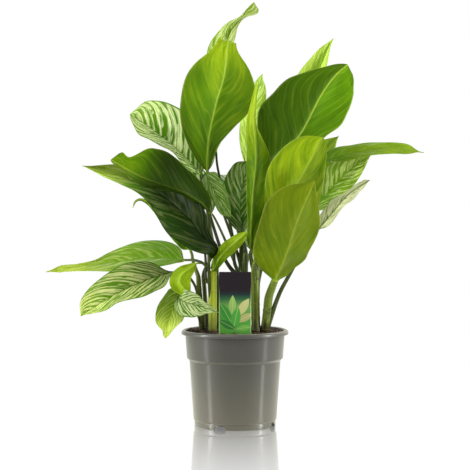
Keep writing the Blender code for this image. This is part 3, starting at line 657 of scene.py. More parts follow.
class LeafSettings(bpy.types.PropertyGroup):
    thickness: length_setting("Thickness", "Thickness of a blade", 0.0009, 0.0002, 0.002)
    rib_depth: length_setting(
        "Midrib", "How far the midrib stands out under the blade's base", 0.0017, 0.0, 0.004)
    wave: length_setting("Edge wave", "Height of the waves along a broad blade's edge", 0.0022, 0.0, 0.01)
    quilting: length_setting(
        "Quilting", "How far the blade rises between its side veins", 0.00055, 0.0, 0.002)
    denting: length_setting("Dents", "Depth of the soft dents in a broad blade", 0.0028, 0.0, 0.008)
    veins: bpy.props.IntProperty(
        name="Side veins", description="Side veins on each half of a blade", default=10, min=4, max=20)
    sweep: bpy.props.FloatProperty(
        name="Sweep", description="How steeply the side veins slant towards the tip", default=1.7,
        min=0.0, max=3.0)
    deep_green: colour_setting("Deep green", "Upper side between the stripes, full grown", "#234c05")
    middle_green: colour_setting("Middle green", "Upper side between the stripes, half grown", "#55880e")
    fresh_green: colour_setting("Fresh green", "Upper side between the stripes, young", "#98b82a")
    lime: colour_setting("Lime", "Stripes of a young leaf", "#c6dc5c")
    cream: colour_setting("Cream stripe", "Stripes of a full-grown leaf", "#eaf2bc")
    olive: colour_setting("Dull stripe", "Stripes of a leaf with little white in it", "#9db254")
    under_deep: colour_setting("Underside, deep", "Underside of a full-grown leaf", "#2a4f02")
    under_middle: colour_setting("Underside, middle", "Underside of a half-grown leaf", "#5f8c04")
    under_fresh: colour_setting("Underside, fresh", "Underside of a young leaf", "#a2bd16")
    under_young: colour_setting(
        "Underside, very young", "Underside where it is youngest, and its veins", "#d2e05a")


class StudioSettings(bpy.types.PropertyGroup):
    floor: colour_setting("Floor", "Colour of the studio floor", "#f4f4f4")
    left: power_setting("Left lamp", "Power of the tall soft lamp at the left", 45.0)
    right: power_setting("Right lamp", "Power of the tall soft lamp at the right", 42.0)
    top: power_setting("Top lamp", "Power of the soft lamp above and before the plant", 15.0)
    back: power_setting("Back lamp", "Power of the soft lamp behind and above", 16.0)
    sky: bpy.props.FloatProperty(
        name="Surround", description="Light from the white room", default=0.32, min=0.0, max=2.0,
        subtype="FACTOR")
    lens: bpy.props.FloatProperty(
        name="Lens", description="Focal length of the studio camera", default=145.2, min=20.0, max=300.0,
        unit="CAMERA")


# --- materials ---------------------------------------------------------------------------------------------

def polypropylene(settings):
    """Recycled polypropylene, injection moulded: grey-green and satin. It is faintly clouded where the melt
    flowed, 26 mm across, with a fine upright flow grain, 1.1 mm wide, drawn coarse enough to show. Specks
    of dried soil, 2 mm across, lie near its rim and foot. Its colour carries painted shade: it darkens
    from its foot towards its top, and is darkest in the nook under its lip."""
    made, add = new_material("moulded_polypropylene")
    place = add("ShaderNodeTexCoord").outputs["Object"]
    clouds = add("ShaderNodeTexNoise", {"Vector": place, "Scale": 38.0, "Detail": 3.0})
    stretched = add("ShaderNodeMapping", {"Vector": place, "Scale": (900.0, 900.0, 60.0)})
    grain = add("ShaderNodeTexNoise", {"Vector": stretched, "Scale": 1.0, "Detail": 2.0})
    light = add("ShaderNodeMixRGB", {
        "Fac": clouds, "Color1": shade(settings.plastic, 0.86), "Color2": shade(settings.plastic, 1.14)})
    specks = add("ShaderNodeTexNoise", {"Vector": place, "Scale": 520.0, "Detail": 4.0})
    few = add("ShaderNodeMapRange", {"Value": specks, "From Min": 0.66, "From Max": 0.74})
    height = add("ShaderNodeSeparateXYZ", {"Vector": place}).outputs["Z"]
    near_rim = add("ShaderNodeMapRange", {
        "Value": height, "From Min": POT_HEIGHT - 0.045, "From Max": POT_HEIGHT, "To Max": 0.55})
    near_foot = add("ShaderNodeMapRange", {
        "Value": height, "From Min": 0.022, "From Max": 0.0, "To Max": 0.6})
    dirty = add("ShaderNodeMath", {0: near_rim, 1: near_foot}, operation="MAXIMUM")
    dust = add("ShaderNodeMath", {0: few, 1: dirty}, operation="MULTIPLY")
    soiled = add("ShaderNodeMixRGB", {"Fac": dust, "Color1": light, "Color2": linear("#4a3a2c")})
    # painted shade: the plastic's colour darkens from its foot towards its top
    painted_top_shade = add("ShaderNodeMapRange", {
        "Value": height, "From Min": 0.012, "From Max": 0.112, "To Min": 1.0, "To Max": 0.32})
    # painted shade: a dark band in the nook just under the lip, where the lip shades the collar
    under_lip = add("ShaderNodeMath", {
        0: height, 1: POT_HEIGHT - LIP_DROP - 0.0011, 2: 0.0012}, operation="COMPARE")
    shaded = add("ShaderNodeMapRange", {"Value": under_lip, "To Min": 1.0, "To Max": 0.25})
    level = add("ShaderNodeMath", {0: painted_top_shade, 1: shaded}, operation="MULTIPLY")
    body = add("ShaderNodeVectorMath", {0: soiled, "Scale": level}, operation="SCALE")
    rough = add("ShaderNodeMapRange", {
        "Value": clouds, "To Min": settings.sheen_roughness - 0.05,
        "To Max": settings.sheen_roughness + 0.08})
    relief = add("ShaderNodeMath", {0: grain, 1: specks}, operation="ADD")
    bump = add("ShaderNodeBump", {"Strength": 0.10, "Distance": 0.0002, "Height": relief})
    shader = add("ShaderNodeBsdfPrincipled", {
        "Base Color": body, "Roughness": rough, "Normal": bump, "IOR": 1.49, "Coat Weight": 0.25,
        "Coat Roughness": 0.14, "Sheen Weight": 0.75, "Sheen Roughness": 0.45,
        "Sheen Tint": linear("#e9ead0")})
    add("ShaderNodeOutputMaterial", {"Surface": shader})
    return made


def peat(name, colour, spread):
    """Damp peat or bark: matt and crumbly in lumps of 4 mm, with rusty patches of 11 mm."""
    made, add = new_material(name)
    place = add("ShaderNodeTexCoord").outputs["Object"]
    lumps = add("ShaderNodeTexNoise", {"Vector": place, "Scale": 260.0, "Detail": 4.0})
    patches = add("ShaderNodeTexNoise", {"Vector": place, "Scale": 90.0, "Detail": 2.0})
    tint = add("ShaderNodeMixRGB", {
        "Fac": lumps, "Color1": shade(colour, 1 - spread), "Color2": shade(colour, 1 + spread)})
    rusty = add("ShaderNodeMapRange", {"Value": patches, "From Min": 0.50, "From Max": 0.70, "To Max": 0.5})
    body = add("ShaderNodeMixRGB", {"Fac": rusty, "Color1": tint, "Color2": linear("#40281c")})
    bump = add("ShaderNodeBump", {"Strength": 0.8, "Distance": 0.0006, "Height": lumps})
    shader = add("ShaderNodeBsdfPrincipled", {"Base Color": body, "Roughness": 0.88, "Normal": bump})
    add("ShaderNodeOutputMaterial", {"Surface": shader})
    return made


def stem_green(add, tone, streaks):
    """A stem's green for its tone, from shaded and old to young, with paler streaks along it."""
    greens = ((0.0, linear("#283409")), (0.5, linear("#62741a")), (1.0, linear("#a9b824")))
    ramp = fill_ramp(add("ShaderNodeValToRGB", {"Fac": tone}), greens)
    paler = add("ShaderNodeMapRange", {
        "Value": streaks, "From Min": 0.42, "From Max": 0.72, "To Min": -0.10, "To Max": 0.45})
    pale = add("ShaderNodeMixRGB", {"Fac": 0.35, "Color1": ramp, "Color2": linear("#c3cc7c")})
    return add("ShaderNodeMixRGB", {"Fac": paler, "Color1": ramp, "Color2": pale})


def cane_skin(settings):
    """The smooth green skin of a cane: waxy, streaked upright in its own greens, and browned in patches
    18 mm across down at the soil."""
    made, add = new_material("cane_skin")
    place = add("ShaderNodeTexCoord").outputs["Object"]
    stretched = add("ShaderNodeMapping", {"Vector": place, "Scale": (300.0, 300.0, 9.0)})
    streaks = add("ShaderNodeTexNoise", {"Vector": stretched, "Scale": 1.0, "Detail": 3.0})
    patches = add("ShaderNodeTexNoise", {"Vector": place, "Scale": 55.0, "Detail": 2.0})
    own = add("ShaderNodeAttribute", attribute_name="tone").outputs["Fac"]
    drift = add("ShaderNodeMapRange", {
        "Value": streaks, "From Min": 0.32, "From Max": 0.68, "To Min": -0.30, "To Max": 0.30})
    tone = add("ShaderNodeMath", {0: own, 1: drift}, operation="ADD")
    green = stem_green(add, tone, streaks)
    height = add("ShaderNodeSeparateXYZ", {"Vector": place}).outputs["Z"]
    foot = add("ShaderNodeMapRange", {
        "Value": height, "From Min": SOIL_TOP_Z + 0.042, "From Max": SOIL_TOP_Z + 0.002, "To Max": 1.6})
    worn = add("ShaderNodeMath", {0: foot, 1: patches}, operation="MULTIPLY")
    body = add("ShaderNodeMixRGB", {"Fac": worn, "Color1": green, "Color2": (*settings.bark, 1.0)})
    bump = add("ShaderNodeBump", {"Strength": 0.35, "Distance": 0.0003, "Height": streaks})
    shader = add("ShaderNodeBsdfPrincipled", {
        "Base Color": body, "Roughness": 0.42, "Normal": bump, "IOR": 1.42, "Specular IOR Level": 0.25})
    add("ShaderNodeOutputMaterial", {"Surface": shader})
    return made


def leaf_scar(settings):
    """Dry corky ring that a fallen leaf leaves on a cane: matt and brown, with flecks 2.4 mm across."""
    made, add = new_material("leaf_scar")
    place = add("ShaderNodeTexCoord").outputs["Object"]
    flecks = add("ShaderNodeTexNoise", {"Vector": place, "Scale": 420.0, "Detail": 3.0})
    body = add("ShaderNodeMixRGB", {
        "Fac": flecks, "Color1": (*settings.scar, 1.0), "Color2": linear("#6f7030")})
    bump = add("ShaderNodeBump", {"Strength": 0.5, "Distance": 0.0002, "Height": flecks})
    shader = add("ShaderNodeBsdfPrincipled", {"Base Color": body, "Roughness": 0.7, "Normal": bump})
    add("ShaderNodeOutputMaterial", {"Surface": shader})
    return made


def leaf_surface(add, colour, roughness, relief):
    """A living leaf's skin: waxy and satin, with light coming through its flesh."""
    bump = add("ShaderNodeBump", {"Strength": 0.35, "Distance": 0.0006, "Height": relief})
    skin = add("ShaderNodeBsdfPrincipled", {
        "Base Color": colour, "Roughness": roughness, "Normal": bump, "IOR": 1.42,
        "Specular IOR Level": 0.13})
    through = add("ShaderNodeBsdfTranslucent", {"Color": colour, "Normal": bump})
    both = add("ShaderNodeMixShader", {0: 0.32, 1: skin, 2: through})
    add("ShaderNodeOutputMaterial", {"Surface": both})


def leaf_grain(add):
    """The leaf's own measures, with a wandering count of its side veins and fibres that run along them."""
    read = {name: add("ShaderNodeAttribute", attribute_name=name).outputs["Fac"]
            for name in (*MEASURES, "leaf", "warm")}
    read["out"] = add("ShaderNodeMath", {0: read["across"]}, operation="ABSOLUTE")
    half = add("ShaderNodeMath", {0: read["across"]}, operation="SIGN")
    read["half"] = add("ShaderNodeMath", {0: half, 1: 17.3, 2: read["leaf"]}, operation="MULTIPLY_ADD")
    along = add("ShaderNodeCombineXYZ", {"X": read["vein"], "Y": read["out"], "Z": read["half"]})
    bend = add("ShaderNodeTexNoise", {"Vector": along, "Scale": 1.1, "Detail": 2.0})
    phase = add("ShaderNodeMath", {0: bend, 1: 1.5, 2: read["vein"]}, operation="MULTIPLY_ADD")
    read["phase"] = phase
    read["ridge"] = add("ShaderNodeMath", {0: phase, 1: 0.5}, operation="PINGPONG")
    drawn = add("ShaderNodeMapping", {"Vector": add("ShaderNodeCombineXYZ", {
        "X": phase, "Y": read["out"], "Z": read["half"]}), "Scale": (5.5, 2.6, 1.0)})
    read["fibres"] = add("ShaderNodeTexNoise", {"Vector": drawn, "Scale": 1.0, "Detail": 2.0})
    cloudy = add("ShaderNodeMapping", {"Vector": drawn, "Scale": (0.22, 0.8, 1.0)})
    read["streaks"] = add("ShaderNodeTexNoise", {"Vector": cloudy, "Scale": 1.0, "Detail": 2.0})
    read["cells"] = add("ShaderNodeTexNoise", {
        "Vector": add("ShaderNodeTexCoord").outputs["Object"], "Scale": 700.0, "Detail": 2.0})
    return read


def flesh_colour(add, tone, colours):
    """The leaf's green for its tone, through four colours from full grown to very young."""
    part = add("ShaderNodeMath", {0: tone, 1: 1.5}, operation="DIVIDE")
    stops = [(k / 3, (*colour, 1.0)) for k, colour in enumerate(colours)]
    return fill_ramp(add("ShaderNodeValToRGB", {"Fac": part}), stops)


def lit_colour(add, read, colour):
    """A colour with the blade's fine cells in it, made lighter or darker by the painted light and shade of
    the blade's place, and as warm as that place asks.
    """
    mottle = add("ShaderNodeMapRange", {
        "Value": read["cells"], "From Min": 0.3, "From Max": 0.7, "To Min": 0.91, "To Max": 1.07})
    # painted light and shade: the blade's light attribute scales its colour
    level = add("ShaderNodeMath", {0: read["light"], 1: mottle}, operation="MULTIPLY")
    scaled = add("ShaderNodeVectorMath", {0: colour, "Scale": level}, operation="SCALE")
    red = add("ShaderNodeMath", {0: read["warm"], 1: 0.2, 2: 1.0}, operation="MULTIPLY_ADD")
    warming = add("ShaderNodeCombineXYZ", {"X": red, "Y": 1.0, "Z": 1.0})
    return add("ShaderNodeVectorMath", {0: scaled, 1: warming}, operation="MULTIPLY")


def striped_upper_side(settings):
    """Upper side of a striped aglaonema leaf. Pale stripes run with the side veins, each of its own width,
    fibrous, forked and broken, over green, with fine threads between them and a green margin."""
    made, add = new_material("leaf_upper_side")
    read = leaf_grain(add)
    count = add("ShaderNodeMath", {0: read["phase"]}, operation="FLOOR")
    place = add("ShaderNodeCombineXYZ", {"X": count, "Y": read["half"]})
    own = add("ShaderNodeTexWhiteNoise", {"Vector": place})
    wide = add("ShaderNodeMapRange", {"Value": own, "To Min": 0.02, "To Max": 0.26})
    uneven = add("ShaderNodeMapRange", {
        "Value": read["streaks"], "From Min": 0.3, "From Max": 0.7, "To Min": -0.12, "To Max": 0.14})
    half_width = add("ShaderNodeMath", {0: wide, 1: uneven}, operation="ADD")
    grown = add("ShaderNodeMath", {0: read["pale"], 1: 0.14, 2: half_width}, operation="MULTIPLY_ADD")
    start = add("ShaderNodeMath", {0: 0.48, 1: grown}, operation="SUBTRACT")
    frayed = add("ShaderNodeMapRange", {
        "Value": read["fibres"], "From Min": 0.3, "From Max": 0.7, "To Min": -0.09, "To Max": 0.09})
    edge = add("ShaderNodeMath", {0: read["ridge"], 1: frayed}, operation="ADD")
    end = add("ShaderNodeMath", {0: start, 1: 0.06}, operation="ADD")
    stripe = add("ShaderNodeMapRange", {
        "Value": edge, "From Min": start, "From Max": end}, interpolation_type="SMOOTHSTEP")
    solid = add("ShaderNodeMapRange", {
        "Value": read["fibres"], "From Min": 0.40, "From Max": 0.52, "To Min": 0.5})
    filled = add("ShaderNodeMath", {0: stripe, 1: solid}, operation="MULTIPLY")
    threads = add("ShaderNodeMapRange", {
        "Value": read["fibres"], "From Min": 0.55, "From Max": 0.62, "To Max": 0.6})
    both = add("ShaderNodeMath", {0: filled, 1: threads}, operation="MAXIMUM")
    margin = add("ShaderNodeMapRange", {
        "Value": read["out"], "From Min": 0.985, "From Max": 0.93}, interpolation_type="SMOOTHSTEP")
    inside = add("ShaderNodeMath", {0: both, 1: margin}, operation="MULTIPLY")
    strength = add("ShaderNodeMapRange", {"Value": read["pale"], "To Min": 0.12, "To Max": 0.97})
    amount = add("ShaderNodeMath", {0: inside, 1: strength}, operation="MULTIPLY")
    green = flesh_colour(add, read["tone"], (
        settings.deep_green, settings.middle_green, settings.fresh_green, settings.lime))
    bright = add("ShaderNodeMixRGB", {
        "Fac": read["pale"], "Color1": (*settings.olive, 1.0), "Color2": (*settings.cream, 1.0)})
    young = add("ShaderNodeMath", {0: read["tone"], 1: 0.55}, operation="MULTIPLY")
    light = add("ShaderNodeMixRGB", {"Fac": young, "Color1": bright, "Color2": (*settings.lime, 1.0)})
    marked = add("ShaderNodeMixRGB", {"Fac": amount, "Color1": green, "Color2": light})
    groove = add("ShaderNodeMapRange", {
        "Value": read["rib_mm"], "From Min": 1.3, "From Max": 0.4, "To Max": 0.75},
        interpolation_type="SMOOTHSTEP")
    ribbed = add("ShaderNodeMixRGB", {"Fac": groove, "Color1": marked, "Color2": green})
    relief = add("ShaderNodeMath", {0: read["ridge"], 1: 1.6}, operation="MULTIPLY")
    leaf_surface(add, lit_colour(add, read, ribbed), 0.36, relief)
    return made


def plain_under_side(settings):
    """Underside of the leaf: plain green, streaked softly where the stripes above show through, lighter
    along the midrib and the thin rim, with the side veins as faint lines."""
    made, add = new_material("leaf_under_side")
    read = leaf_grain(add)
    drift = add("ShaderNodeMapRange", {
        "Value": read["streaks"], "From Min": 0.3, "From Max": 0.7, "To Min": -0.5, "To Max": 0.5})
    fine = add("ShaderNodeMapRange", {
        "Value": read["fibres"], "From Min": 0.3, "From Max": 0.7, "To Min": -0.12, "To Max": 0.12})
    streaked = add("ShaderNodeMath", {0: drift, 1: fine}, operation="ADD")
    fresh = add("ShaderNodeMath", {0: streaked, 1: read["pale"], 2: read["tone"]}, operation="MULTIPLY_ADD")
    flesh = flesh_colour(add, fresh, (
        settings.under_deep, settings.under_middle, settings.under_fresh, settings.under_young))
    line = add("ShaderNodeMapRange", {
        "Value": read["ridge"], "From Min": 0.40, "From Max": 0.49, "To Max": 0.12},
        interpolation_type="SMOOTHSTEP")
    veined = add("ShaderNodeMixRGB", {"Fac": line, "Color1": flesh, "Color2": (*settings.under_young, 1.0)})
    rim = add("ShaderNodeMapRange", {
        "Value": read["out"], "From Min": 0.955, "From Max": 0.99, "To Max": 0.55},
        interpolation_type="SMOOTHSTEP")
    rimmed = add("ShaderNodeMixRGB", {"Fac": rim, "Color1": veined, "Color2": linear("#b4c95a")})
    crest = add("ShaderNodeMapRange", {
        "Value": read["rib_mm"], "From Min": 1.9, "From Max": 0.7, "To Max": 0.75},
        interpolation_type="SMOOTHSTEP")
    # the pale midrib shows less where painted shade darkens the blade
    clear = add("ShaderNodeMath", {0: crest, 1: read["light"]}, operation="MULTIPLY", use_clamp=True)
    ribbed = add("ShaderNodeMixRGB", {"Fac": clear, "Color1": rimmed, "Color2": linear("#a9c33a")})
    relief = add("ShaderNodeMath", {0: read["ridge"], 1: -1.2}, operation="MULTIPLY")
    leaf_surface(add, lit_colour(add, read, ribbed), 0.40, relief)
    return made


def stalk_skin():
    """A leaf stalk: smooth, firm and green, with paler streaks along it, and darkened by painted shade where
    it stands in shade.
    """
    made, add = new_material("leaf_stalk")
    read = {name: add("ShaderNodeAttribute", attribute_name=name).outputs["Fac"]
            for name in ("across", "tone", "vein", "light")}
    around = add("ShaderNodeCombineXYZ", {"X": read["vein"], "Y": read["across"]})
    stretched = add("ShaderNodeMapping", {"Vector": around, "Scale": (2.0, 6.0, 1.0)})
    streaks = add("ShaderNodeTexNoise", {"Vector": stretched, "Scale": 1.0, "Detail": 3.0})
    green = stem_green(add, read["tone"], streaks)
    # painted shade: the stalk's green scaled by its light attribute
    lit = add("ShaderNodeVectorMath", {0: green, "Scale": read["light"]}, operation="SCALE")
    bump = add("ShaderNodeBump", {"Strength": 0.3, "Distance": 0.0003, "Height": streaks})
    shader = add("ShaderNodeBsdfPrincipled", {
        "Base Color": lit, "Roughness": 0.40, "Normal": bump, "IOR": 1.42, "Specular IOR Level": 0.25})
    add("ShaderNodeOutputMaterial", {"Surface": shader})
    return made


def printed_card():
    """A litho-printed plastic card with a gloss varnish. Its ground runs from aubergine at the top to leaf
    green, with a made-up spray of plain leaves. Low down along its sides it has a painted highlight, where
    its edges catch the light."""
    made, add = new_material("printed_card")
    place = add("ShaderNodeTexCoord").outputs["Object"]
    apart = add("ShaderNodeSeparateXYZ", {"Vector": place})
    height = add("ShaderNodeMapRange", {
        "Value": apart.outputs["Z"], "From Min": CARD_FOOT_Z, "From Max": CARD_TOP_Z})
    stops = [(part, linear(ink)) for part, ink in CARD_GROUND]
    colour = fill_ramp(add("ShaderNodeValToRGB", {"Fac": height}), stops)
    for x, z, turn, length, width, tint in CARD_SPRAY:
        moved = add("ShaderNodeMapping", {
            "Vector": place, "Location": (x, 0.0, z), "Rotation": (0.0, math.radians(turn), 0.0),
            "Scale": (width, 1.0, length)}, vector_type="TEXTURE")
        part = add("ShaderNodeSeparateXYZ", {"Vector": moved})
        squared = add("ShaderNodeMath", {0: part.outputs["Z"], 1: 2.0}, operation="POWER")
        side = add("ShaderNodeMath", {0: part.outputs["X"]}, operation="ABSOLUTE")
        reach = add("ShaderNodeMath", {0: squared, 1: side}, operation="ADD")
        mask = add("ShaderNodeMapRange", {"Value": reach, "From Min": 1.03, "From Max": 0.97})
        vein = add("ShaderNodeMapRange", {"Value": side, "From Min": 0.10, "From Max": 0.05, "To Max": 0.5})
        inked = add("ShaderNodeMixRGB", {"Fac": vein, "Color1": linear(tint), "Color2": linear("#9fb872")})
        colour = add("ShaderNodeMixRGB", {"Fac": mask, "Color1": colour, "Color2": inked})
    side = add("ShaderNodeMath", {0: apart.outputs["X"]}, operation="ABSOLUTE")
    # painted highlight: a pale strip along the card's sides, low down, where its edges catch the light
    border = add("ShaderNodeMapRange", {
        "Value": side, "From Min": CARD_WIDTH / 2 - CARD_EDGE_HIGHLIGHT[1],
        "From Max": CARD_WIDTH / 2 - CARD_EDGE_HIGHLIGHT[0]})
    lower = add("ShaderNodeMapRange", {"Value": height, "From Min": 0.78, "From Max": 0.45, "To Max": 0.75})
    edge_highlight = add("ShaderNodeMath", {0: border, 1: lower}, operation="MULTIPLY")
    edge_lit = add("ShaderNodeMixRGB", {"Fac": edge_highlight, "Color1": colour, "Color2": linear("#a9c283")})
    dust = add("ShaderNodeTexNoise", {"Vector": place, "Scale": 60.0, "Detail": 4.0})
    rough = add("ShaderNodeMapRange", {"Value": dust, "To Min": 0.30, "To Max": 0.46})
    shader = add("ShaderNodeBsdfPrincipled", {
        "Base Color": edge_lit, "Roughness": rough, "IOR": 1.5, "Specular IOR Level": 0.14})
    add("ShaderNodeOutputMaterial", {"Surface": shader})
    return made


def card_back():
    """The card's back and edges: white polypropylene, slightly clouded, with one pale tinted band."""
    made, add = new_material("card_back")
    place = add("ShaderNodeTexCoord").outputs["Object"]
    clouds = add("ShaderNodeTexNoise", {"Vector": place, "Scale": 80.0, "Detail": 2.0})
    plain = add("ShaderNodeMixRGB", {
        "Fac": clouds, "Color1": linear("#dfe0d6"), "Color2": linear("#ecece4")})
    height = add("ShaderNodeSeparateXYZ", {"Vector": place}).outputs["Z"]
    band = add("ShaderNodeMath", {0: height, 1: CARD_TOP_Z - 0.020, 2: 0.009}, operation="COMPARE")
    tinted = add("ShaderNodeMixRGB", {"Fac": band, "Color1": plain, "Color2": linear("#b9c9a4")})
    shader = add("ShaderNodeBsdfPrincipled", {"Base Color": tinted, "Roughness": 0.38, "IOR": 1.5})
    add("ShaderNodeOutputMaterial", {"Surface": shader})
    return made


def studio_floor(settings):
    """A white sheet of polished acrylic under the plant. Seen low it mirrors the pot's foot, less and less
    away from it, and it keeps a faint shadow there."""
    made, add = new_material("studio_floor")
    place = add("ShaderNodeTexCoord").outputs["Object"]
    away = add("ShaderNodeVectorMath", {0: place}, operation="LENGTH")
    fading = add("ShaderNodeMapRange", {
        "Value": away.outputs["Value"], "From Min": 0.06, "From Max": 0.85, "To Min": 1.8, "To Max": 0.0})
    gloss = add("ShaderNodeFresnel", {"IOR": 1.5})
    mirrored = add("ShaderNodeMath", {0: gloss, 1: fading}, operation="MULTIPLY", use_clamp=True)
    skin = add("ShaderNodeBsdfDiffuse", {"Color": (*settings.floor, 1.0)})
    polish = add("ShaderNodeBsdfGlossy", {"Color": (1.0, 1.0, 1.0, 1.0), "Roughness": 0.05})
    rays = add("ShaderNodeLightPath")
    white = add("ShaderNodeEmission", {"Color": (1.0, 1.0, 1.0, 1.0), "Strength": 1.0})
    even = add("ShaderNodeMapRange", {
        "Value": away.outputs["Value"], "From Min": 0.12, "From Max": 0.9, "To Min": 0.86, "To Max": 1.0})
    looked = add("ShaderNodeMath", {
        0: rays.outputs["Is Camera Ray"], 1: rays.outputs["Is Glossy Ray"]}, operation="MAXIMUM")
    seen = add("ShaderNodeMath", {0: looked, 1: even}, operation="MULTIPLY")
    sheet = add("ShaderNodeMixShader", {0: seen, 1: skin, 2: white})
    both = add("ShaderNodeMixShader", {0: mirrored, 1: sheet, 2: polish})
    add("ShaderNodeOutputMaterial", {"Surface": both})
    return made


# --- pot ---------------------------------------------------------------------------------------------------

def pot_section():
    """The wall's section from the middle of the base, round the outside and lip, to the inner floor."""
    floor = CHANNEL_HEIGHT + WALL
    ring_inner = FOOT_RADIUS - FOOT_RING_WIDTH
    lip_inner = LIP_RADIUS - LIP_THICKNESS
    lip_foot = POT_HEIGHT - LIP_DROP
    groove_start, groove_foot, groove_top = FOOT_GROOVE_DROPS
    base = [
        (0.0, 0.0),
        (CENTRE_PAD_RADIUS, 0.0),
        (CENTRE_PAD_RADIUS + CENTRE_PAD_SLOPE, CHANNEL_HEIGHT),
        (ring_inner - FOOT_RING_SLOPE, CHANNEL_HEIGHT),
        (ring_inner, 0.0),
        (FOOT_RADIUS, 0.0),
        (FOOT_RADIUS, FOOT_HEIGHT - groove_start),
        (FOOT_RADIUS - FOOT_GROOVE_DEPTH, FOOT_HEIGHT - groove_foot),
        (FOOT_RADIUS - FOOT_GROOVE_DEPTH, FOOT_HEIGHT - groove_top),
    ]
    outside = [
        (BODY_FOOT_RADIUS, FOOT_HEIGHT),
        (BODY_TOP_RADIUS, COLLAR_FOOT_Z - STEP_HEIGHT),
        (COLLAR_FOOT_RADIUS, COLLAR_FOOT_Z),
        (COLLAR_TOP_RADIUS, POT_HEIGHT - 0.70 * LIP_DROP),
    ]
    lip = [
        (COLLAR_TOP_RADIUS + WALL, POT_HEIGHT - 0.30 * LIP_DROP),
        (lip_inner - WALL, POT_HEIGHT - 0.28 * LIP_DROP),
        (lip_inner, POT_HEIGHT - 0.55 * LIP_DROP),
        (lip_inner, lip_foot),
        (LIP_RADIUS, lip_foot),
        (LIP_RADIUS, POT_HEIGHT - 0.55 * LIP_DROP),
        (LIP_RADIUS - 0.5 * WALL, POT_HEIGHT - 0.25 * LIP_DROP),
        (LIP_RADIUS - 2.0 * WALL, POT_HEIGHT),
        (COLLAR_TOP_RADIUS + WALL, POT_HEIGHT),
        (COLLAR_TOP_RADIUS - 0.5 * WALL, POT_HEIGHT - 0.15 * LIP_DROP),
    ]
    inside = [
        (COLLAR_TOP_RADIUS - WALL, POT_HEIGHT - 0.50 * LIP_DROP),
        (COLLAR_FOOT_RADIUS - WALL, COLLAR_FOOT_Z),
        (BODY_TOP_RADIUS - WALL, COLLAR_FOOT_Z - STEP_HEIGHT),
        (BODY_FOOT_RADIUS - WALL, floor),
        (CENTRE_PAD_RADIUS + CENTRE_PAD_SLOPE, floor),
        (CENTRE_PAD_RADIUS - WALL, WALL),
        (0.0, WALL),
    ]
    return base + outside + lip + inside


def filleted(section, radius):
    """The section with each corner rounded by a short arc."""
    points = [Vector(point) for point in section]
    result = [points[0]]
    for before, corner, after in zip(points, points[1:], points[2:]):
        to_before = before - corner
        to_after = after - corner
        reach = min(radius, 0.45 * to_before.length, 0.45 * to_after.length)
        start = corner + to_before.normalized() * reach
        end = corner + to_after.normalized() * reach
        for part in (0.0, 0.33, 0.67, 1.0):
            result.append(start.lerp(corner, part).lerp(corner.lerp(end, part), part))
    result.append(points[-1])
    return result


def circle(radius, steps):
    """Points (x, y) round a circle about Z."""
    angles = [2 * math.pi * k / steps for k in range(steps)]
    return [(radius * math.cos(angle), radius * math.sin(angle)) for angle in angles]


def turned_faces(rows, steps):
    """The faces of a closed shape turned about Z: rows of points round it, and one point at each end."""
    faces = []
    for first in range(1, 1 + (rows - 1) * steps, steps):
        for k in range(steps):
            after = (k + 1) % steps
            faces.append((first + k, first + after, first + steps + after, first + steps + k))
    last = 1 + rows * steps
    for k in range(steps):
        after = (k + 1) % steps
        faces.append((0, 1 + k, 1 + after))
        faces.append((last, last - steps + after, last - steps + k))
    return faces


def turned(name, section, steps):
    """A closed shape turned about Z from a section that begins and ends on the axis."""
    points = [(0.0, 0.0, section[0].y)]
    for point in section[1:-1]:
        points += [(x, y, point.y) for x, y in circle(point.x, steps)]
    points.append((0.0, 0.0, section[-1].y))
    return mesh_object(name, points, turned_faces(len(section) - 2, steps))


def cylinder(name, radius, depth, segments, squash=1.0):
    """A cylinder along Z, squashed in Y by a part of its width."""
    bm = bmesh.new()
    bmesh.ops.create_cone(bm, cap_ends=True, segments=segments, radius1=radius, radius2=radius, depth=depth)
    bmesh.ops.scale(bm, verts=bm.verts, vec=(1.0, squash, 1.0))
    return drawn_object(name, bm)


def foot_cutters():
    """The arched notches through the foot ring and the round drain holes, as cutting shapes."""
    cutters = []
    for k in range(NOTCHES):
        angle = math.radians(FIRST_NOTCH_DEG + k * 360 / NOTCHES)
        notch = cylinder(f"notch_{k + 1}", NOTCH_WIDTH / 2, 3 * FOOT_RING_WIDTH, 32,
                         2 * NOTCH_HEIGHT / NOTCH_WIDTH)
        notch.rotation_euler = (math.radians(90), 0.0, angle + math.radians(90))
        radius = FOOT_RADIUS - FOOT_RING_WIDTH / 2
        notch.location = (math.cos(angle) * radius, math.sin(angle) * radius, 0.0)
        cutters.append(notch)
    for k in range(DRAIN_HOLES):
        angle = math.radians(FIRST_NOTCH_DEG + (k + 0.5) * 360 / DRAIN_HOLES)
        hole = cylinder(f"drain_hole_{k + 1}", DRAIN_HOLE_RADIUS, 4 * WALL, 24)
        hole.location = (math.cos(angle) * DRAIN_CIRCLE_RADIUS, math.sin(angle) * DRAIN_CIRCLE_RADIUS,
                         CHANNEL_HEIGHT + WALL / 2)
        cutters.append(hole)
    return cutters


class EVERGREEN_OT_pot(bpy.types.Operator):
    """Turns the nursery pot with its rolled lip, collar and foot, and cuts its notches and drain holes"""
    bl_idname = "evergreen.pot"
    bl_label = "Nursery Pot"

    def execute(self, context):
        settings = context.scene.evergreen_pot
        section = filleted(pot_section(), settings.fillet)
        pot = turned("nursery_pot", section, settings.steps)
        cutters = foot_cutters()
        for cutter in cutters:
            boolean = pot.modifiers.new(cutter.name, "BOOLEAN")
            boolean.operation = "DIFFERENCE"
            boolean.object = cutter
        made_plain(pot)
        for cutter in cutters:
            bpy.data.objects.remove(cutter)
        pot.data.materials.clear()
        pot.data.materials.append(polypropylene(settings))
        smooth(pot, 50)
        seat(pot, "pot_plastic", "pot")
        return {"FINISHED"}


# --- soil --------------------------------------------------------------------------------------------------

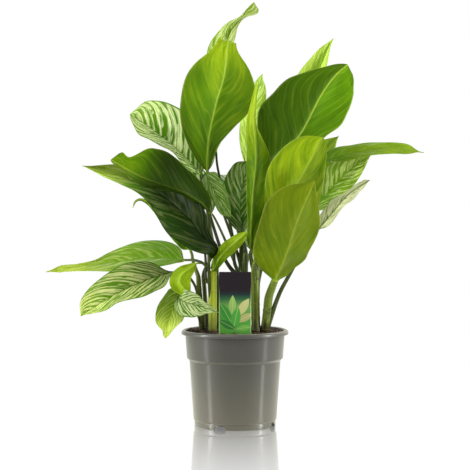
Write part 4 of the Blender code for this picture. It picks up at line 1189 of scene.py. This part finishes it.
def soil_height(x, y):
    """The uneven top of the soil: domed, lumpy, and sunk a little at the wall."""
    radius = math.hypot(x, y) / COLLAR_TOP_RADIUS
    lumps = noise.noise(Vector((x * SOIL_LUMPS, y * SOIL_LUMPS, 1.0))) * SOIL_LUMP_HEIGHT
    small = noise.noise(Vector((x * SOIL_CRUMBLES, y * SOIL_CRUMBLES, 5.0))) * SOIL_CRUMB_HEIGHT
    return SOIL_TOP_Z + SOIL_DOME * (0.8 - 1.2 * radius**2) + (lumps + small) * (1 - 0.3 * radius**4)


def soil_bed():
    """The soil as one closed body inside the pot, and its uneven top alone, to strew crumbs on."""
    top_radius = COLLAR_TOP_RADIUS - SOIL_GAP - SOIL_CLEARANCE
    points = [(0.0, 0.0, soil_height(0.0, 0.0))]
    for ring in range(1, SOIL_RINGS + 1):
        points += [(x, y, soil_height(x, y)) for x, y in circle(top_radius * ring / SOIL_RINGS, SOIL_STEPS)]
    floor = CHANNEL_HEIGHT + SOIL_GAP
    walls = ((COLLAR_FOOT_RADIUS - SOIL_GAP, COLLAR_FOOT_Z),
             (BODY_TOP_RADIUS - SOIL_GAP, COLLAR_FOOT_Z - STEP_HEIGHT), (BODY_FOOT_RADIUS - SOIL_GAP, floor))
    for radius, height in walls:
        points += [(x, y, height) for x, y in circle(radius, SOIL_STEPS)]
    points.append((0.0, 0.0, floor))
    faces = turned_faces(SOIL_RINGS + len(walls), SOIL_STEPS)
    top = [face for face in faces if max(face) <= SOIL_RINGS * SOIL_STEPS]
    return mesh_object("soil_bed", points, faces), mesh_object("crumb_ground", points, top)


def open_tree(name, **sockets):
    """A Geometry Nodes tree from a mesh, the named values and a finish to a mesh, the function that adds
    a node to it, and its inputs."""
    tree = bpy.data.node_groups.new(name, "GeometryNodeTree")
    for label, kind in (("Mesh", "Geometry"), *sockets.items(), ("Finish", "Material")):
        tree.interface.new_socket(label, in_out="INPUT", socket_type="NodeSocket" + kind)
    tree.interface.new_socket("Mesh", in_out="OUTPUT", socket_type="NodeSocketGeometry")
    return tree, partial(add_node, tree), add_node(tree, "NodeGroupInput").outputs


def crumb_tree():
    """Geometry Nodes that strew lumpy crumbs over a ground mesh, so many on a square metre."""
    tree, add, given = open_tree(
        "strewn_crumbs", Radius="Float", Density="Float", Flatness="Float", Lumpiness="Float", Seed="Int")
    spots = add("GeometryNodeDistributePointsOnFaces", {
        "Mesh": given["Mesh"], "Density": given["Density"], "Seed": given["Seed"]})
    lump = add("GeometryNodeMeshIcoSphere", {"Radius": given["Radius"], "Subdivisions": 2})
    flat = add("ShaderNodeCombineXYZ", {"X": CRUMB_STRETCH, "Y": 1.0, "Z": given["Flatness"]})
    smallest, largest = CRUMB_SIZES
    size = add("FunctionNodeRandomValue", {
        2: smallest, 3: largest, "Seed": given["Seed"]}, data_type="FLOAT")
    scale = add("ShaderNodeVectorMath", {0: flat, "Scale": size.outputs[1]}, operation="SCALE")
    turn = add("FunctionNodeRandomValue", {
        0: (-CRUMB_TILT, -CRUMB_TILT, 0.0), 1: (CRUMB_TILT, CRUMB_TILT, 2 * math.pi), "Seed": given["Seed"]},
        data_type="FLOAT_VECTOR")
    placed = add("GeometryNodeInstanceOnPoints", {
        "Points": spots, "Instance": lump, "Rotation": turn, "Scale": scale})
    whole = add("GeometryNodeRealizeInstances", {"Geometry": placed})
    place = add("GeometryNodeInputPosition")
    rough = add("ShaderNodeTexNoise", {"Vector": place, "Scale": CRUMB_ROUGHNESS, "Detail": 1.0})
    middle = add("ShaderNodeVectorMath", {
        0: rough.outputs["Color"], 1: (0.5, 0.5, 0.5)}, operation="SUBTRACT")
    push = add("ShaderNodeVectorMath", {0: middle, "Scale": given["Lumpiness"]}, operation="SCALE")
    moved = add("GeometryNodeSetPosition", {"Geometry": whole, "Offset": push})
    finished = add("GeometryNodeSetMaterial", {"Geometry": moved, "Material": given["Finish"]})
    add("NodeGroupOutput", {"Mesh": finished})
    return tree


def run_tree(obj, tree, values):
    """Gives obj a Geometry Nodes tree with the named values, and makes the result its mesh."""
    sockets = {item.name: item.identifier for item in tree.interface.items_tree if item.in_out == "INPUT"}
    modifier = obj.modifiers.new(tree.name, "NODES")
    modifier.node_group = tree
    for name, value in values.items():
        modifier[sockets[name]] = value
    made_plain(obj)


class EVERGREEN_OT_soil(bpy.types.Operator):
    """Fills the pot with peat and strews its crumbs and bark chips over the top"""
    bl_idname = "evergreen.soil"
    bl_label = "Soil"

    def execute(self, context):
        settings = context.scene.evergreen_soil
        bed, ground = soil_bed()
        damp = peat("damp_peat", settings.peat, 0.45)
        bark = peat("bark_chip", settings.bark, 0.35)
        bed.data.materials.append(damp)
        smooth(bed, 60)
        seat(bed, "soil", "soil")
        tree = crumb_tree()
        strewn = (("peat_crumbs", settings.crumb, settings.crumbs, 0.8, 0.0022, 11, damp),
                  ("bark_chips", settings.chip, settings.chips, 0.35, 0.0020, 4, bark))
        for name, radius, density, flatness, lumpiness, seed, finish in strewn:
            piece = new_object(name, ground.data.copy())
            run_tree(piece, tree, {
                "Radius": radius, "Density": density, "Flatness": flatness, "Lumpiness": lumpiness,
                "Seed": seed, "Finish": finish})
            smooth(piece, 60)
            seat(piece, "soil")
        bpy.data.objects.remove(ground)
        return {"FINISHED"}


# --- plant card --------------------------------------------------------------------------------------------

# The printed ground, from the card's foot, 0, to its top, 1
CARD_GROUND = (
    (0.0, "#4f8f36"), (0.25, "#3d7f2e"), (0.46, "#5c8740"), (0.56, "#28552f"), (0.64, "#172626"),
    (0.70, "#181218"), (1.0, "#181317"),
)

# The printed spray: each leaf's middle (x, z), its turn in degrees, half length, half width and colour.
CARD_SPRAY = [
    (0.0125, 0.1930, 34, 0.0170, 0.0066, "#a3a36a"),
    (0.0150, 0.1770, 64, 0.0150, 0.0056, "#92925a"),
    (-0.0040, 0.1960, 2, 0.0160, 0.0058, "#7c9c50"),
    (-0.0140, 0.1840, -30, 0.0180, 0.0066, "#317a2a"),
    (0.0010, 0.1760, 12, 0.0190, 0.0074, "#438a34"),
    (-0.0120, 0.1660, -62, 0.0150, 0.0056, "#276426"),
    (0.0130, 0.1610, 80, 0.0120, 0.0048, "#5f973e"),
]


def card_outline():
    """The card and its stake from the left of the card's foot, with both upper corners rounded."""
    half = CARD_WIDTH / 2
    stake = STAKE_WIDTH / 2
    corner_z = CARD_TOP_Z - CARD_FOOT_Z - CARD_CORNER
    outline = [(-half, 0.0), (-stake, 0.0), (-stake, STAKE_POINT - STAKE_DEPTH), (0.0, -STAKE_DEPTH),
               (stake, STAKE_POINT - STAKE_DEPTH), (stake, 0.0), (half, 0.0)]
    for side, start in ((1, 0), (-1, 90)):
        for k in range(CARD_CORNER_STEPS + 1):
            angle = math.radians(start + 90 * k / CARD_CORNER_STEPS)
            outline.append((side * (half - CARD_CORNER) + CARD_CORNER * math.cos(angle),
                            corner_z + CARD_CORNER * math.sin(angle)))
    return outline


class EVERGREEN_OT_card(bpy.types.Operator):
    """Cuts the plant card and its stake from thin sheet, bows it a little and prints its front"""
    bl_idname = "evergreen.card"
    bl_label = "Plant Card"

    def execute(self, context):
        settings = context.scene.evergreen_card
        bm = bmesh.new()
        bm.faces.new([bm.verts.new((x, 0.0, z)) for x, z in card_outline()])
        for x in CARD_CUTS:
            everything = bm.verts[:] + bm.edges[:] + bm.faces[:]
            bmesh.ops.bisect_plane(bm, geom=everything, plane_co=(x, 0.0, 0.0), plane_no=(1.0, 0.0, 0.0))
        lean = math.tan(math.radians(CARD_LEAN_DEG))
        for vert in bm.verts:
            bow = settings.bow * (1 - (vert.co.x / (CARD_WIDTH / 2)) ** 2)
            vert.co.y = CARD_Y - bow + vert.co.z * lean
            vert.co.z += CARD_FOOT_Z
        card = drawn_object("plant_card_print", bm)
        for finish in (printed_card(), card_back()):
            card.data.materials.append(finish)
        sheet = card.modifiers.new("sheet", "SOLIDIFY")
        sheet.thickness = settings.thickness
        sheet.offset = 0.0
        made_plain(card)
        turn_outwards(card.data)
        for face in card.data.polygons:
            face.material_index = 0 if face.normal.y < -0.5 else 1
        smooth(card, 30)
        seat(card, "card", "plant_card")
        return {"FINISHED"}


# --- canes -------------------------------------------------------------------------------------------------

def ring_tree():
    """Geometry Nodes that set a corky ring round each point of a mesh, as wide as its cane there."""
    tree, add, given = open_tree("leaf_scar_rings", Ridge="Float")
    width = add("GeometryNodeInputNamedAttribute", {"Name": "cane_radius"}, data_type="FLOAT")
    tilt = add("GeometryNodeInputNamedAttribute", {"Name": "tilt"}, data_type="FLOAT_VECTOR")
    ridge = add("ShaderNodeMath", {0: given["Ridge"], 1: USUAL_CANE_RADIUS}, operation="DIVIDE")
    path = add("GeometryNodeCurvePrimitiveCircle", {"Resolution": CANE_SIDES, "Radius": 1.0})
    section = add("GeometryNodeCurvePrimitiveCircle", {"Resolution": SCAR_SIDES, "Radius": ridge})
    ring = add("GeometryNodeCurveToMesh", {"Curve": path, "Profile Curve": section})
    placed = add("GeometryNodeInstanceOnPoints", {
        "Points": given["Mesh"], "Instance": ring, "Rotation": tilt, "Scale": width})
    whole = add("GeometryNodeRealizeInstances", {"Geometry": placed})
    finished = add("GeometryNodeSetMaterial", {"Geometry": whole, "Material": given["Finish"]})
    add("NodeGroupOutput", {"Mesh": finished})
    return tree


def scar_heights(name, spacing):
    """The heights of a cane's leaf scars, unevenly spaced from the soil to its top."""
    chance = random.Random(sum(map(ord, name)))
    height = SOIL_TOP_Z + FIRST_SCAR
    top = CANES[name][1][2] * MM - LAST_SCAR
    heights = []
    while height < top:
        heights.append(height)
        height += spacing * chance.uniform(*SCAR_SPACING_RANGE)
    return heights


def cane_mesh(name, heights):
    """A cane as a closed skin: slightly uneven, swollen at each leaf scar, and domed on top."""
    low = SOIL_TOP_Z - CANE_ROOT_DEPTH
    high = CANES[name][1][2] * MM
    rows = round((high - low) / CANE_RING_SPACING)
    levels = [low + (high - low) * k / rows for k in range(rows + 1)]
    points = []
    for level in levels:
        centre, radius = cane_centre(name, level)
        swell = sum(math.exp(-((level - scar) / SCAR_SPREAD) ** 2) for scar in heights)
        radius *= 1 + SCAR_SWELL * swell
        radius *= 1 - CANE_CLOSING * ease(level, high - CANE_DOME, high) ** 2
        for k in range(CANE_SIDES):
            angle = 2 * math.pi * k / CANE_SIDES
            along, aside = math.cos(angle), math.sin(angle)
            uneven = noise.noise(Vector((along * 1.5, aside * 1.5, level * 60 + len(name))))
            out = radius * (1 + CANE_UNEVENNESS * uneven)
            points.append(centre + Vector((along * out, aside * out, 0.0)))
    return mesh_object("skin_" + name, points, loft_faces(rows + 1, CANE_SIDES))


class EVERGREEN_OT_canes(bpy.types.Operator):
    """Grows each green cane and sets a corky scar round it wherever a leaf has fallen"""
    bl_idname = "evergreen.canes"
    bl_label = "Canes"

    def execute(self, context):
        settings = context.scene.evergreen_canes
        skin = cane_skin(settings)
        corky = leaf_scar(settings)
        tree = ring_tree()
        for name, (*_, tone) in CANES.items():
            heights = scar_heights(name, settings.scar_spacing)
            cane = cane_mesh(name, heights)
            cane.data.materials.append(skin)
            set_attribute(cane.data, "tone", [tone] * len(cane.data.vertices))
            smooth(cane, 60)
            seat(cane, "stem", "cane_" + name)
            places = [cane_centre(name, height) for height in heights]
            rings = mesh_object("scars_" + name, [centre for centre, _ in places], [])
            set_attribute(rings.data, "cane_radius", [radius * OVER_CANE for _, radius in places])
            chance = random.Random(len(name))
            turns = [turn for _ in places for turn in (chance.uniform(-SCAR_TILT, SCAR_TILT),
                                                       chance.uniform(-SCAR_TILT, SCAR_TILT), 0.0)]
            rings.data.attributes.new("tilt", "FLOAT_VECTOR", "POINT").data.foreach_set("vector", turns)
            run_tree(rings, tree, {"Ridge": settings.scar_height, "Finish": corky})
            smooth(rings, 60)
            seat(rings, "stem")
        return {"FINISHED"}


# --- leaves ------------------------------------------------------------------------------------------------

def along_blade(given, u):
    """A value at a part u of the blade's length, given once or at its base, middle and tip."""
    if isinstance(given, (int, float)):
        return given
    base, middle, tip = COLOUR_STATIONS
    return (given[0] + (given[1] - given[0]) * ease(u, base, middle)
            + (given[2] - given[1]) * ease(u, middle, tip))


def edge_width(u, spec, side):
    """The half width at a part u of the blade's length, 1 at its widest place."""
    given = spec.get(side + "_edge")
    if given is None:
        widest = spec["widest"]
        if u < widest:
            return math.sin(math.pi / 2 * u / widest) ** BASE_ROUNDING
        beyond = (u - widest) / (1.0 - widest)
        return (1.0 - beyond**2) ** spec.get("taper", TIP_TAPER)
    places = (0.0, *EDGE_STATIONS, 1.0)
    widths = (spec.get("base", START_WIDTH), *given, END_WIDTH)
    k = max(index for index in range(len(places) - 1) if places[index] <= u or index == 0)
    slopes = []
    for index in (k, k + 1):
        before, after = max(index - 1, 0), min(index + 1, len(places) - 1)
        slopes.append((widths[after] - widths[before]) / (places[after] - places[before]))
    span = places[k + 1] - places[k]
    t = (u - places[k]) / span
    return max(0.0, (2 * t**3 - 3 * t**2 + 1) * widths[k] + (t**3 - 2 * t**2 + t) * span * slopes[0]
               + (3 * t**2 - 2 * t**3) * widths[k + 1] + (t**3 - t**2) * span * slopes[1])


def square_to(side, tangent):
    """side turned square to tangent, keeping its length."""
    flat = side - tangent * side.dot(tangent)
    return flat.normalized() * side.length


def leaf_line(spec):
    """The leaf's whole centre line from inside its cane to its tip, and where along it the blade begins."""
    stalk = [Vector(point) * MM for point in spec["stalk"]]
    rib = [Vector(point) * MM for point in spec["rib"]]
    on_top = spec["foot"] == "top"
    height = (CANES[spec["cane"]][1][2] if on_top else spec["foot"]) * MM
    centre, radius = cane_centre(spec["cane"], height)
    below, _ = cane_centre(spec["cane"], height - SHEATH_LENGTH)
    clasp = [below, centre]
    if not on_top:
        outward = stalk[0] - centre
        outward.z = 0.0
        outward.normalize()
        start, parting = CLASP_REACH
        clasp = [below + outward * radius * start, centre + outward * (radius * parting)]
    base = (len(clasp) + len(stalk) - 1) * CURVE_SAMPLES
    return catmull_rom([*clasp, *stalk, *rib]), base


# light is painted light and shade: a lightness that scales each point's colour
MEASURES = ("vein", "across", "rib_mm", "tone", "pale", "light")


class Leaf:
    """The points of one leaf's skin, ring by ring, with the measures that its finish follows."""

    def __init__(self, name, spec, settings):
        self.name = name
        self.spec = spec
        self.settings = settings
        chance = random.Random(sum(map(ord, name)) * 7)
        self.number = chance.uniform(0.0, 40.0)
        self.waves = [(chance.uniform(*WAVES_ALONG_EDGE), chance.uniform(0.0, 6.28)) for _ in range(4)]
        self.points = []
        self.measures = {key: [] for key in MEASURES}
        self.columns = 2 * (2 * HALF_CELLS + 1)
        self.build()

    def build(self):
        """Draws every ring from the stalk's foot to the tip, each square to the leaf's line there."""
        spec = self.spec
        fine, base = leaf_line(spec)
        stalk_length = sum((b - a).length for a, b in zip(fine[:base], fine[1:base + 1]))
        self.stalk_rings = max(6, round(stalk_length / STALK_RING_SPACING))
        line = spaced(fine[:base + 1], self.stalk_rings + 1)[:-1] + spaced(fine[base:], BLADE_RINGS + 1)
        self.length = sum((b - a).length for a, b in zip(fine[base:], fine[base + 1:]))
        widest = self.stalk_rings + round(spec["widest"] * BLADE_RINGS)
        wide_tangent = (line[widest + 3] - line[widest - 3]).normalized()
        self.left = square_to(Vector(spec["left"]) * MM, wide_tangent)
        self.right = square_to(Vector(spec["right"]) * MM, wide_tangent)
        self.size = (self.left.length + self.right.length) / 2
        self.fullness = min(1.0, self.size / FULL_HALF_WIDTH)
        for k, point in enumerate(line):
            before, after = line[max(k - 1, 0)], line[min(k + 1, len(line) - 1)]
            tangent = (after - before).normalized()
            turn = wide_tangent.rotation_difference(tangent)
            left = square_to(turn @ self.left, tangent)
            right = square_to(turn @ self.right, tangent)
            if k < self.stalk_rings:
                self.stalk_ring(k / self.stalk_rings, point, tangent, (right - left).normalized())
            else:
                self.blade_ring((k - self.stalk_rings) / BLADE_RINGS, point, tangent, left, right)

    def keep(self, point, *facts):
        """Adds a point of the skin, with its measures in order."""
        self.points.append(point)
        for key, value in zip(MEASURES, facts):
            self.measures[key].append(value)

    def stalk_ring(self, part, point, tangent, across):
        """A round of the stalk: broad and clasping at its foot, channelled above, round at the blade."""
        stout = self.spec.get("stout", 1.0)
        foot_radius, end_radius = (stout * (fixed + scale * self.size)
                                   for fixed, scale in (STALK_FOOT_RADIUS, STALK_END_RADIUS))
        clasp = 1 - ease(part, 0.0, CLASP_PART)
        radius = foot_radius + (end_radius - foot_radius) * part
        if self.spec["foot"] == "top":
            grown = OVER_CANE * CANE_GIRTH.get(self.spec["cane"], 1.0) * CANES[self.spec["cane"]][3] * MM
            sheathed = (1 - ease(part, 0.0, self.spec.get("sheath", SHEATH_PART))) * (
                1 - (1 - self.spec.get("neck", 0.0)) * ease(part, 0.75, 1.0))
            wide = deep = radius + (grown - radius) * sheathed
        else:
            wide, deep = radius * (1 + CLASP_WIDENING * clasp), radius * (1 - CLASP_FLATTENING * clasp)
        across = square_to(across, tangent).normalized()
        up = across.cross(tangent)
        channel = CHANNEL_DEPTH * ease(part, 0.1, 0.4)
        tone = self.spec.get("stalk_tone", STALK_TONE)
        # painted shade: the stalk's lightness, below 1 where it stands in shade
        light = self.spec.get("stalk_light", STALK_LIGHT)
        for k in range(self.columns):
            angle = math.pi * (1 - (2 * k + 1) / self.columns)
            rise = math.sin(angle)
            if rise > 0:
                rise *= 1 - channel * rise
            place = point + across * math.cos(angle) * wide + up * rise * deep
            self.keep(place, part * STREAKS_ALONG_STALK, math.cos(angle), 0.0, tone, 0.0, light)

    def lift(self, u, part, sign, half):
        """How far a point of the blade stands above its plain halves: arch, edge waves and quilting."""
        arch = 4 * BULGE * part * (1 - part) * half
        side = 0 if sign < 0 else 2
        wave = sum(math.sin(TURN * count * u + start) for count, start in self.waves[side:side + 2]) / 2
        height = self.settings.wave * self.fullness
        edge = height * wave * part**WAVE_POWER * ease(u, 0.0, 0.15) * ease(1 - u, 0.0, 0.12)
        inside = ease(part, 0.03, 0.25) * ease(1 - part, 0.0, 0.2) * ease(1 - u, 0.0, 0.1)
        vein = self.vein(u, part, sign)
        uneven = 0.75 + 0.9 * noise.noise(Vector((vein * 0.8, sign * 3 + part * 1.5, self.number)))
        quilt = math.cos(TURN * vein) * uneven * self.settings.quilting * self.fullness
        spot = Vector((u * DENTS_ALONG_BLADE, sign * (2 + part * DENTS_ACROSS_HALF), self.number))
        dent = noise.noise(spot) * self.settings.denting
        return arch + edge + (quilt + dent * self.fullness) * inside

    def vein(self, u, part, sign):
        """The count of side veins up to this point. Each leaves the midrib slanting and bends to the tip."""
        slant = self.settings.sweep * self.spec.get("sweep", 1.0) * self.size / self.length
        number = self.settings.veins * self.spec.get("veins", 1.0)
        offset = 0.0 if sign < 0 else RIGHT_VEIN_OFFSET
        bent = (1 - VEIN_BEND) * part + VEIN_BEND * part**VEIN_BEND_POWER
        return number * (u**VEIN_CROWDING - slant * bent) + offset

    def blade_ring(self, u, point, tangent, left, right):
        """A round of the blade: the upper face from its left to its right edge, then the under face back."""
        spec = self.spec
        narrow = TIP_HALF_WIDTH / self.size
        rib_depth = self.settings.rib_depth * (1 - u) ** 0.8 * min(1.0, 0.4 + self.size / 0.05)
        upper, lower = [], []
        for side, sign, which in ((left, -1, "left"), (right, 1, "right")):
            width = max(edge_width(u, spec, which), narrow)
            half = side.length * width
            normal = (side.cross(tangent) * sign).normalized()
            here = [along_blade(spec[key], u) for key in ("tone", "pale")]
            # painted light and shade: each half's lightness along the blade, eased into the midrib, with the
            # left edge made lighter still by edge_light
            light = [along_blade(side_light, u) for side_light in spec.get("light", (1.0, 1.0))]
            own, even = light[0 if sign < 0 else 1], (light[0] + light[1]) / 2
            for k in range(1, HALF_CELLS + 1):
                part = (k / HALF_CELLS) ** CELL_CROWDING
                place = point + side * width * part + normal * self.lift(u, part, sign, half)
                thick = self.settings.thickness * (1 - EDGE_THINNING * part**5)
                ridge = rib_depth * math.exp(-(part * half / RIB_SPREAD) ** 2)
                lit = even + (own - even) * ease(part, 0.0, 0.12)
                if sign < 0:
                    lit *= 1 + (spec.get("edge_light", 1.0) - 1) * ease(part, 0.2, 1.0)
                facts = (self.vein(u, part, sign), sign * part, part * half / MM, *here, lit)
                upper.append((sign * k, place + normal * thick / 2, facts))
                lower.append((sign * k, place - normal * (thick / 2 + ridge), facts))
        middle = (right.cross(tangent).normalized() - left.cross(tangent).normalized()).normalized()
        facts = (self.vein(u, 0.0, -1) + 0.2, 0.0, 0.0, *here, even)
        upper.append((0, point + middle * (self.settings.thickness / 2 - 0.15 * rib_depth), facts))
        lower.append((0, point - middle * (self.settings.thickness / 2 + rib_depth), facts))
        upper.sort(key=lambda entry: entry[0])
        lower.sort(key=lambda entry: -entry[0])
        for _, place, facts in upper + lower:
            self.keep(place, *facts)

    def make_object(self, finishes):
        """The leaf as a mesh: striped finish above, plain below, and the stalk's on the stalk."""
        rows = len(self.points) // self.columns
        obj = mesh_object("foliage_" + self.name, self.points, loft_faces(rows, self.columns))
        mesh = obj.data
        for key, values in self.measures.items():
            set_attribute(mesh, key, values)
        set_attribute(mesh, "leaf", [self.number] * len(self.points))
        set_attribute(mesh, "warm", [self.spec.get("warm", 0.0)] * len(self.points))
        for finish in finishes:
            mesh.materials.append(finish)
        over = 2 * HALF_CELLS
        for face in mesh.polygons:
            row, column = divmod(face.index, self.columns)
            if row >= rows - 1:
                face.material_index = 2 if face.index == (rows - 1) * self.columns else 1
            elif row < self.stalk_rings - 1:
                face.material_index = 2
            else:
                face.material_index = 0 if column < over else 1
        smooth(obj, 50)
        return obj


class EVERGREEN_OT_leaves(bpy.types.Operator):
    """Grows every leaf: stalk, midrib, two folded and waved halves, striped above and plain below"""
    bl_idname = "evergreen.leaves"
    bl_label = "Leaves"

    def execute(self, context):
        settings = context.scene.evergreen_leaves
        finishes = (striped_upper_side(settings), plain_under_side(settings), stalk_skin())
        for name, spec in LEAVES.items():
            leaf = Leaf(name, spec, settings).make_object(finishes)
            seat(leaf, "plain_leaf" if name in PLAIN else "striped_leaf", "leaf_" + name)
        return {"FINISHED"}


# --- studio ------------------------------------------------------------------------------------------------

# Each soft lamp's place, the point that it faces, and its width and height.
LAMPS = {
    "left": ((-1.71, -0.56, 0.78), (0.0, 0.0, 0.3), (0.34, 1.5)),
    "right": ((1.75, -0.42, 0.78), (0.0, 0.0, 0.3), (0.30, 1.5)),
    "top": ((-0.7, -1.3, 1.9), (0.0, 0.0, 0.35), (1.2, 1.0)),
    "back": ((0.3, 1.3, 1.8), (0.0, 0.0, 0.4), (1.8, 1.2)),
}


def soft_lamp(name, place, target, size, power):
    """A rectangular area lamp at its place, turned to its target."""
    lamp = bpy.data.lights.new(name, "AREA")
    lamp.shape = "RECTANGLE"
    lamp.size, lamp.size_y = size
    lamp.energy = power
    obj = new_object(name, lamp)
    obj.location = place
    obj.rotation_euler = (Vector(target) - Vector(place)).to_track_quat("-Z", "Y").to_euler()


def white_room(strength):
    """A white surround: full white where it is seen or mirrored, and softer as a light."""
    world = bpy.data.worlds.new("white_room")
    world.use_nodes = True
    tree = world.node_tree
    tree.nodes.clear()
    add = partial(add_node, tree)
    rays = add("ShaderNodeLightPath")
    mirrored = add("ShaderNodeMath", {
        0: rays.outputs["Is Camera Ray"], 1: rays.outputs["Is Glossy Ray"]}, operation="MAXIMUM")
    seen = add("ShaderNodeMath", {0: mirrored, 1: rays.outputs["Is Transmission Ray"]}, operation="MAXIMUM")
    level = add("ShaderNodeMapRange", {"Value": seen, "To Min": strength, "To Max": 1.0})
    glow = add("ShaderNodeBackground", {"Color": (1.0, 1.0, 1.0, 1.0), "Strength": level})
    add("ShaderNodeOutputWorld", {"Surface": glow})
    bpy.context.scene.world = world


class EVERGREEN_OT_studio(bpy.types.Operator):
    """Sets the floor, the white surround, four soft lamps and the camera"""
    bl_idname = "evergreen.studio"
    bl_label = "Studio"

    def execute(self, context):
        settings = context.scene.evergreen_studio
        corners = [(x * FLOOR_HALF, y * FLOOR_HALF, -FLOOR_DROP)
                   for x, y in ((-1, -1), (1, -1), (1, 1), (-1, 1))]
        floor = mesh_object("studio_floor", corners, [(0, 1, 2, 3)])
        floor.data.materials.append(studio_floor(settings))
        if floor.data.polygons[0].normal.z < 0:
            floor.data.flip_normals()
        for name, (place, target, size) in LAMPS.items():
            soft_lamp(name + "_lamp", place, target, size, getattr(settings, name))
        white_room(settings.sky)
        lens = bpy.data.cameras.new("studio_camera")
        lens.lens = settings.lens
        lens.sensor_width = SENSOR_WIDTH_MM
        camera = new_object("studio_camera", lens)
        camera.location = CAMERA_PLACE
        camera.rotation_euler = (math.radians(90 - CAMERA_TILT_DEG), 0.0, 0.0)
        context.scene.camera = camera
        context.scene.view_settings.view_transform = "Standard"
        return {"FINISHED"}


# --- panel and registration --------------------------------------------------------------------------------

class EVERGREEN_PT_plant(bpy.types.Panel):
    """Lists the plant's pieces in the 3D view's sidebar"""
    bl_idname = "EVERGREEN_PT_plant"
    bl_label = "Potted Evergreen"
    bl_space_type = "VIEW_3D"
    bl_region_type = "UI"
    bl_category = "Evergreen"

    def draw(self, context):
        layout = self.layout
        for piece in SETTINGS:
            box = layout.box()
            group = getattr(context.scene, "evergreen_" + piece)
            for name in group.bl_rna.properties.keys():
                if name not in {"rna_type", "name"}:
                    box.prop(group, name)
            box.operator("evergreen." + piece)


# Each piece's settings, held by the scene as evergreen_ and this name, which is its operator's name too.
SETTINGS = {
    "pot": PotSettings,
    "soil": SoilSettings,
    "card": CardSettings,
    "canes": CaneSettings,
    "leaves": LeafSettings,
    "studio": StudioSettings,
}

CLASSES = (
    *SETTINGS.values(), EVERGREEN_OT_pot, EVERGREEN_OT_soil, EVERGREEN_OT_card, EVERGREEN_OT_canes,
    EVERGREEN_OT_leaves, EVERGREEN_OT_studio, EVERGREEN_PT_plant,
)


def register():
    for each in CLASSES:
        bpy.utils.register_class(each)
    for piece, group in SETTINGS.items():
        setattr(bpy.types.Scene, "evergreen_" + piece, bpy.props.PointerProperty(type=group))


def unregister():
    for piece in SETTINGS:
        delattr(bpy.types.Scene, "evergreen_" + piece)
    for each in reversed(CLASSES):
        bpy.utils.unregister_class(each)


def main():
    register()
    bpy.ops.evergreen.pot()
    bpy.ops.evergreen.soil()
    bpy.ops.evergreen.card()
    bpy.ops.evergreen.canes()
    bpy.ops.evergreen.leaves()
    bpy.ops.evergreen.studio()


if __name__ == "__main__":
    main()
